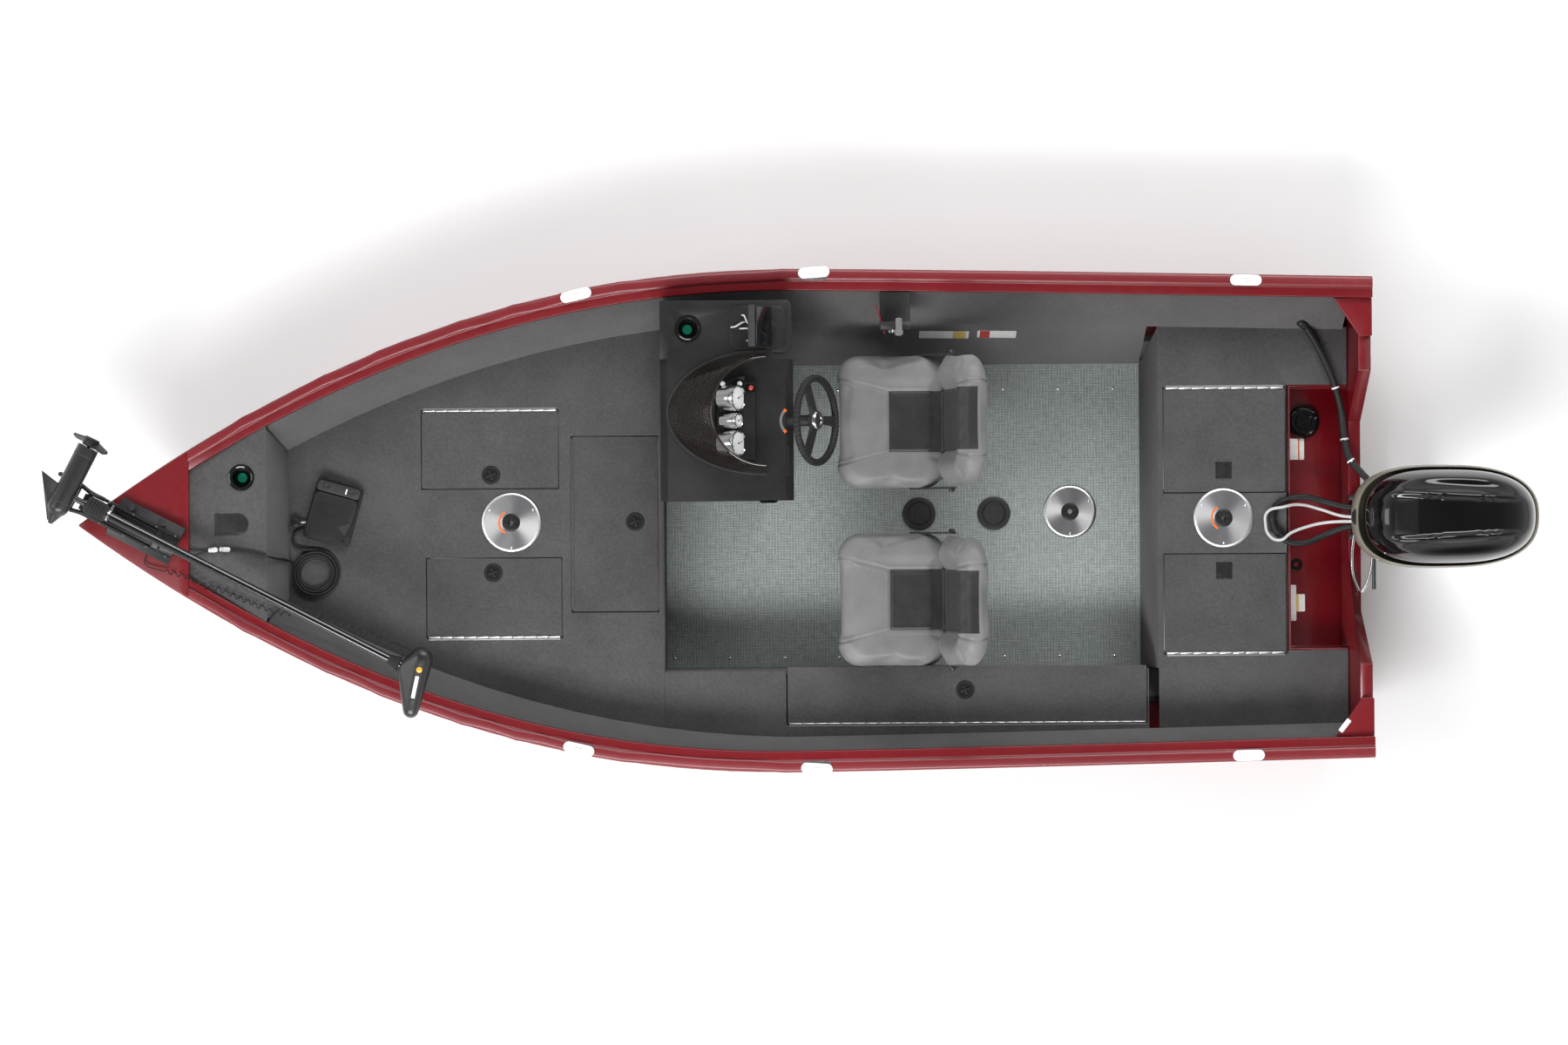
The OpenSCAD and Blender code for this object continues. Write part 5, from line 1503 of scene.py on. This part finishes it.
def throttle_details():
    """Knurled disc and the lever's grip on the starboard binnacle."""
    low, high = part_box("throttle_control")
    disc = at(-0.442, -0.747, 0.6) @ spin(-90, "X")
    bm = bmesh.new()
    add_lathe(bm, [(0, 0.013), (0.018, 0.013), (0.024, 0.011), (0.024, 0.001)], disc, 32)
    for k in range(28):
        add_box(bm, (0.003, 0.003, 0.01), disc @ spin(360 * k / 28, "Z")
                @ at(0.024, 0, 0.006), 0.0008, 1)
    piece("throttle_disc", bm, STAINLESS)
    bm = bmesh.new()
    add_box(bm, (0.032, 0.022, 0.05), at(-0.452, -0.731, high.z - 0.018), 0.008, 3)
    add_box(bm, (0.026, 0.07, 0.024), at(-0.452, -0.752, high.z - 0.006), 0.009, 3)
    piece("throttle_grip", bm, GREY_PLASTIC)
    bm = bmesh.new()
    add_box(bm, (0.006, 0.12, 0.003), at(-0.385, -0.79, 0.5585, 16), 0.001)
    piece("throttle_streak", bm, RED)


throttle_details()


# ---- outboard
cowl_low, cowl_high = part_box("motor_cowl")
cowl_mid = (cowl_low.x + cowl_high.x) / 2
cowl_long, cowl_wide = (cowl_high.x - cowl_low.x) / 2, (cowl_high.y - cowl_low.y) / 2
cowl_tall = cowl_high.z - cowl_low.z


def cowl_ring(k, z, around=72):
    """Superellipse ring of the cowl at a share of its full plan."""
    ring = []
    for i in range(around):
        a = math.tau * i / around
        c, s = math.cos(a), math.sin(a)
        u = math.copysign(abs(c) ** 0.7, c)
        v = math.copysign(abs(s) ** 0.8, s) * (1 + 0.05 * c)
        ring.append((cowl_mid + u * cowl_long * k, v * cowl_wide * 0.985 * k, z, u * k, v * k))
    return ring


def sculpt(u, v, rise):
    """Height added to the cowl's top: two swept ridges with scoops outside them."""
    along = max(0.0, 1 - ((u - 0.05) / 0.78) ** 4)
    crest = 0.4 + 0.1 * u
    ridge = math.exp(-((abs(v) - crest) / 0.055) ** 2)
    scoop = math.exp(-((abs(v) - crest - 0.2) / 0.1) ** 2) * max(0.0, 1 - ((u + 0.05) / 0.62) ** 2)
    centre = 0.006 if abs(v) < crest - 0.06 else 0.0
    return rise * along * (0.016 * ridge - 0.02 * scoop) - centre * rise - 0.03 * max(0, -u - 0.1) ** 2


def cowl():
    """Gloss shell, champagne skirt and the seal between them."""
    bm = bmesh.new()
    shell = [(0.26, 0.925), (0.27, 0.95), (0.42, 0.958), (0.56, 0.945), (0.68, 0.915),
             (0.78, 0.872), (0.855, 0.825), (0.905, 0.775), (0.94, 0.715), (0.96, 0.655),
             (0.972, 0.59), (0.98, 0.525), (0.985, 0.46), (0.988, 0.395), (0.99, 0.33),
             (0.99, 0.26), (0.99, 0.19), (0.99, 0.12), (0.99, 0.05)]
    shell_share = 0.945
    rings = []
    for share, k in shell:
        rise = min(max((share - 0.8) / 0.12, 0), 1)
        rings.append([(x, y, z + sculpt(u, v, rise), u, v)
                      for x, y, z, u, v in cowl_ring(k * shell_share, cowl_low.z + share * cowl_tall)])
    lofted(bm, rings)
    top = piece("cowl_shell", bm, GLOSS_BLACK, "outboard", angle=60)
    top.modifiers.new("finer", "SUBSURF").levels = 1
    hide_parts("motor_cowl")
    bm = bmesh.new()
    skirt = [(0.0, 0.93), (0.015, 0.955), (0.06, 0.985), (0.14, 0.998), (0.22, 0.99),
             (0.285, 0.972), (0.3, 0.955), (0.285, 0.94)]
    lofted(bm, [cowl_ring(k, cowl_low.z + share * cowl_tall) for share, k in skirt],
           cap_last=False)
    piece("cowl_skirt", bm, CHAMPAGNE, "outboard", angle=60)
    bm = bmesh.new()
    lofted(bm, [cowl_ring(k, cowl_low.z + z) for k, z in ((0.935, -0.004), (0.952, -0.003), (0.952, 0.003),
                                                      (0.935, 0.004))], False, False)
    piece("cowl_seal", bm, RUBBER, "outboard")


def cowl_panel():
    """Satin panel at the front of the cowl's top, and a latch below it."""
    bm = bmesh.new()
    rows = []
    for i in range(9):
        u = 0.42 + 0.25 * i / 8
        row = []
        for j in range(13):
            v = (-0.31 + 0.62 * j / 12) * (1 + 0.1 * u)
            edge = 1 if 0 < i < 8 and 0 < j < 12 else 0
            z = cowl_low.z + 0.988 * cowl_tall + sculpt(u, v, 1.0) + 0.0035 * edge - 0.002
            z -= 0.115 * max(0, math.hypot(u, v * 0.9) - 0.58) ** 1.6
            row.append(bm.verts.new((cowl_mid + u * cowl_long, v * cowl_wide, z)))
        rows.append(row)
    strip(bm, rows)
    piece("cowl_panel", bm, SATIN_PANEL, "outboard", angle=60)
    bm = bmesh.new()
    add_box(bm, (0.02, 0.06, 0.03), at(cowl_high.x - 0.014, 0, cowl_low.z + 0.085), 0.006)
    add_box(bm, (0.016, 0.04, 0.01), at(cowl_high.x - 0.006, 0, cowl_low.z + 0.08), 0.003)
    piece("cowl_latch", bm, BLACK, "outboard")


def transom_rigging():
    """Steering link with the tilt tube's nuts, then boots and screws at the transom."""
    bm = bmesh.new()
    for hand in (-1, 1):
        add_lathe(bm, [(0, 0.012), (0.013, 0.011), (0.016, 0.006), (0.016, -0.006), (0.012, -0.012),
                       (0, -0.012)], at(-2.345, hand * 0.108, 0.42)
                  @ spin(90, "X"), 6)
    add_tube(bm, smooth_curve([(-2.338, 0.11, 0.42), (-2.338, 0.19, 0.418), (-2.322, 0.26, 0.405),
                               (-2.3, 0.3, 0.392)], 8), 0.0065, 12)
    add_tube(bm, smooth_curve([(-2.27, 0.072, 0.4), (-2.262, 0.15, 0.392), (-2.268, 0.232, 0.38),
                               (-2.29, 0.296, 0.386)], 8), 0.0055, 12)
    piece("steering_link", bm, STAINLESS)
    bm = bmesh.new()
    for hand in (-1, 1):
        for z in (0.37, 0.376):
            add_lathe(bm, [(0, 0.006), (0.006, 0.0055), (0.0085, 0.002), (0.0085, -0.004)],
                      at(-2.285, hand * 0.058, z + 0.019), 6)
    for y in (-0.03, 0.0, 0.034):
        add_lathe(bm, [(0, 0.02), (0.009, 0.018), (0.013, 0.01), (0.015, -0.008)],
                  at(-2.278, y, 0.386) @ spin(-35, "Y"),
                  20)
    piece("rigging_boots", bm, RUBBER)


cowl()
cowl_panel()
transom_rigging()


# ---- trolling motor
# stow: angle of the stowed shaft about the mount's pivot; shaft_up: its height over that pivot
stow = 152.57
shaft_up = 0.055
trolling_frame = Matrix.Translation(pivot("trolling_deploy")) @ spin(stow, "Z")


def along_shaft(x, y=0.0, z=shaft_up):
    """Frame at a place on the trolling motor with local Z along its shaft, away from the pod."""
    return trolling_frame @ at(x, y, z) @ spin(90, "Y")


def smoothed_copy(name, node, voxel, rounds, material, body):
    """Rounded version of a faceted CAD node."""
    mesh = nodes[node].data.copy()
    mesh.materials.clear()
    thing = bpy.data.objects.new(name, mesh)
    scene.collection.objects.link(thing)
    thing.modifiers.new("voxel", "REMESH").voxel_size = voxel
    relax = thing.modifiers.new("relax", "SMOOTH")
    relax.iterations = rounds
    relax.factor = 0.5
    thing.modifiers.new("finer", "SUBSURF").levels = 1
    baked(thing)
    thing.data.materials.append(material)
    smooth_all(thing.data)
    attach(thing, body)
    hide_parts(node)
    return thing


def on_top(thing, x, y):
    """Height and normal of a piece's upper surface at a trolling-frame place."""
    p = trolling_frame @ Vector((x, y, 0))
    hit, place_hit, normal, _ = thing.ray_cast(Vector((p.x, p.y, 2)), Vector((0, 0, -1)))
    return (place_hit if hit else p), (normal if hit else Vector((0, 0, 1)))


def shaft_fittings():
    bm = bmesh.new()
    ribs = [(0.0305, 0.0)]
    for k in range(6):
        ribs += [(0.0335, 0.006 + 0.013 * k), (0.0335, 0.012 + 0.013 * k), (0.0312, 0.014 + 0.013 * k)]
    add_lathe(bm, ribs + [(0.03, 0.084), (0.02, 0.086)], along_shaft(0.017), 40)
    piece("shaft_grip", bm, RUBBER, "trolling_arm")
    bm = bmesh.new()
    add_lathe(bm, [(0.0178, -0.004), (0.0235, -0.003), (0.0235, 0.005), (0.0178, 0.006)],
              along_shaft(0.11), 40)
    add_box(bm, (0.01, 0.03, 0.01), trolling_frame @ at(0.112, 0.03, shaft_up),
            0.003)
    piece("shaft_clip", bm, STAINLESS, "trolling_arm")


def mount_fittings():
    """Cradle that the pod rests in, and the mount's bolts, knobs and strap."""
    bm = bmesh.new()
    for y in (-0.044, 0.044):
        add_tube(bm, smooth_curve([trolling_frame @ Vector(p) for p in (
            (0.06, y, 0.004), (0.0, y, 0.0), (-0.06, y * 1.25, -0.002), (-0.112, y * 1.3, -0.001),
            (-0.129, y * 1.3, 0.01), (-0.133, y * 1.3, 0.036))], 6), 0.0092, 12)
    add_tube(bm, [trolling_frame @ Vector((-0.045, y, -0.003)) for y in (-0.053, 0.053)], 0.0055, 12)
    piece("pod_cradle", bm, SATIN_BLACK)
    bm = bmesh.new()
    for x in (0.085, 0.19, 0.29, 0.372):
        for y in (-0.044, 0.044):
            add_lathe(bm, [(0, 0.0055), (0.0045, 0.005), (0.0065, 0.001), (0.0065, 0)],
                      trolling_frame @ at(x, y, 0.018), 6)
    piece("mount_bolts", bm, STAINLESS)
    bm = bmesh.new()
    for x, y in ((0.3, 0.068), (0.165, 0.066)):
        knob = trolling_frame @ at(x, y, -0.006)
        add_lathe(bm, [(0.008, 0), (0.008, 0.01), (0.015, 0.012), (0.016, 0.02), (0.01, 0.024),
                       (0, 0.0245)], knob, 24)
    strap = moved(trolling_frame, (0.335, -0.052, 0.008), (0.335, -0.03, 0.02),
                  (0.335, 0.03, 0.02), (0.335, 0.052, 0.008))
    add_tube(bm, smooth_curve(strap, 6), 0.0045, 8)
    piece("mount_knobs", bm, RUBBER)


def head_fittings():
    """Rounded head with its boot, yellow dot, white bar and cord boot."""
    head = smoothed_copy("control_head", "trolling_head", 0.005, 9, SATIN_BLACK, "trolling_shaft")
    bm = bmesh.new()
    boot = along_shaft(1.372)
    add_lathe(bm, [(0.0178, -0.04), (0.02, -0.038), (0.023, -0.02), (0.029, -0.004),
                   (0.031, 0.006)], boot, 36)
    piece("head_boot", bm, RUBBER, "trolling_shaft")
    here, normal = on_top(head, 1.462, 0.02)
    lie = Matrix.Translation(here) @ normal.to_track_quat("Z", "Y").to_matrix().to_4x4()
    bm = bmesh.new()
    add_lathe(bm, [(0, 0.0022), (0.009, 0.002), (0.0115, 0.0002), (0.0115, -0.004)], lie, 28)
    piece("head_dot", bm, YELLOW_DOT, "trolling_shaft")
    bm = bmesh.new()
    stations = [on_top(head, 1.466 + 0.022 * t, -0.005 - 0.085 * t) for t in
                (k / 8 for k in range(9))]
    across = (trolling_frame.to_3x3() @ Vector((1, 0.25, 0))).normalized()
    rows = [[bm.verts.new(p + across * w + n * lift) for w, lift in
             ((-0.0075, -0.002), (-0.007, 0.0012), (0.007, 0.0012), (0.0075, -0.002))]
            for p, n in stations]
    strip(bm, rows)
    piece("head_bar", bm, LABEL_WHITE, "trolling_shaft")
    bm = bmesh.new()
    place_boot = Vector((1.412, 0.517, 0.722))
    add_lathe(bm, [(0.0035, -0.012), (0.0075, -0.01), (0.0085, -0.002), (0.012, 0.01),
                   (0.012, 0.03)], Matrix.Translation(place_boot), 20)
    piece("head_cord_boot", bm, RUBBER, "trolling_shaft")


def pod_rings():
    """Seam rings on the pod."""
    bm = bmesh.new()
    pod = Vector((-0.079, 0.05, shaft_up))
    for y in (-0.085, 0.115):
        ring_at = trolling_frame @ at(pod.x, pod.y + y, pod.z)
        add_lathe(bm, [(0.042, -0.003), (0.0434, -0.002), (0.0434, 0.002), (0.042, 0.003)],
                  ring_at @ spin(90, "X"), 48)
    piece("pod_rings", bm, BLACK_SOFT, "trolling_lower")


shaft_fittings()
mount_fittings()
head_fittings()
pod_rings()


def foot_pedal():
    """Pedal: base tray, rocking pad with a heel relief, toe strip, rod and toothed knob."""
    base = at(1.8, -0.043, deck_z, -16)
    bm = bmesh.new()
    add_prism(bm, rounded_outline(-0.095, 0.095, -0.125, 0.125, 0.022), 0.001, 0.018, base, 0.004)
    for x, y in ((-0.07, -0.105), (0.075, -0.105), (-0.07, 0.1), (0.075, 0.1)):
        add_lathe(bm, [(0, 0.0205), (0.006, 0.02), (0.008, 0.0175)],
                  base @ at(x, y, 0), 14)
    tray = piece("pedal_tray", bm, BLACK)
    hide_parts("foot_pedal")
    rock = base @ at(0, 0, 0.026) @ spin(-5, "Y")
    big, small = 0.075, 0.014
    outline = []
    for cx, cy, r, start in ((0.086 - small, 0.11 - small, small, 0), (-0.084 + big, 0.11 - big, big, 90),
                             (-0.084 + small, -0.07 + small, small, 180),
                             (0.086 - small, -0.07 + small, small, 270)):
        outline += [(cx + r * math.cos(math.radians(start + 90 * k / 8)),
                     cy + r * math.sin(math.radians(start + 90 * k / 8))) for k in range(9)]
    bm = bmesh.new()
    add_prism(bm, outline, 0.0, 0.018, rock, 0.005, 3)
    for k in range(7):
        add_box(bm, (0.1, 0.0035, 0.003), rock @ at(0.018, -0.052 + 0.013 * k, 0.018),
                0.001)
    piece("pedal_pad", bm, RUBBER)
    bm = bmesh.new()
    add_prism(bm, [(-0.08, 0.02), (-0.03, 0.048), (-0.072, 0.078)], 0.017, 0.0205, rock, 0.0015)
    add_prism(bm, rounded_outline(-0.084, 0.086, -0.116, -0.075, 0.01), 0.0, 0.019, rock, 0.004)
    for x in (-0.05, 0.05):
        add_lathe(bm, [(0.004, 0.02), (0.011, 0.024), (0.014, 0.022), (0.015, 0.018)],
                  rock @ at(x, -0.096, 0), 24)
    piece("pedal_toe", bm, BLACK_SOFT)
    bm = bmesh.new()
    add_box(bm, (0.006, 0.022, 0.003), rock @ at(-0.03, -0.096, 0.02), 0.0012)
    piece("pedal_mark", bm, WHITE)
    bm = bmesh.new()
    add_tube(bm, moved(base, (0.08, 0.06, 0.014), (0.125, 0.074, 0.016)), 0.003, 12)
    piece("pedal_rod", bm, STAINLESS)
    bm = bmesh.new()
    knob = base @ at(0.135, 0.078, 0)
    add_lathe(bm, [(0.012, 0.001), (0.012, 0.012), (0.018, 0.014), (0.018, 0.022), (0.008, 0.026),
                   (0, 0.0262)], knob, 30)
    for k in range(8):
        add_box(bm, (0.01, 0.008, 0.01), knob @ spin(360 * k / 8, "Z")
                @ at(0.019, 0, 0.018), 0.002)
    piece("pedal_knob", bm, BLACK)


foot_pedal()


# ---- light and floor
def studio():
    """White floor, a sky that darkens overhead, and three soft lamps."""
    floor_mesh = bpy.data.meshes.new("studio_floor")
    bm = bmesh.new()
    bmesh.ops.create_grid(bm, x_segments=4, y_segments=4, size=30)
    bm.to_mesh(floor_mesh)
    bm.free()
    floor = bpy.data.objects.new("studio_floor", floor_mesh)
    s = Shader("pale_floor", 0.8)
    s.colour(s.ramp(s.noise(0.8, 2), [(0.3, (0.9, 0.9, 0.9)), (0.7, (0.93, 0.93, 0.93))]))
    floor_mesh.materials.append(s.material)
    scene.collection.objects.link(floor)

    world = bpy.data.worlds.new("studio")
    world.use_nodes = True
    tree = world.node_tree
    sky = tree.nodes.new("ShaderNodeTexCoord")
    parts = tree.nodes.new("ShaderNodeSeparateXYZ")
    fall = tree.nodes.new("ShaderNodeValToRGB")
    fall.color_ramp.elements[0].color = (1, 1, 1, 1)
    fall.color_ramp.elements[1].position = 0.92
    fall.color_ramp.elements[1].color = (0.16, 0.16, 0.165, 1)
    tree.links.new(sky.outputs["Generated"], parts.inputs[0])
    tree.links.new(parts.outputs["Z"], fall.inputs["Fac"])
    tree.links.new(fall.outputs["Color"], tree.nodes["Background"].inputs["Color"])
    tree.nodes["Background"].inputs["Strength"].default_value = 1.05
    scene.world = world

    def lamp(name, location, size, power, aim=(0, 0, 0)):
        data = bpy.data.lights.new(name, "AREA")
        data.shape = "RECTANGLE"
        data.size, data.size_y = size
        data.energy = power
        light = bpy.data.objects.new(name, data)
        light.location = location
        light.rotation_euler = (Vector(aim) - Vector(location)).to_track_quat("-Z", "Y").to_euler()
        scene.collection.objects.link(light)

    lamp("key", (1.5, 6.0, 7.0), (8, 2.5), 900)
    lamp("fill", (-2.0, -6.5, 6.0), (8, 3), 520)
    lamp("bow", (7.5, 0.0, 5.5), (3, 4), 120)
    scene.view_settings.view_transform = "Standard"


studio()
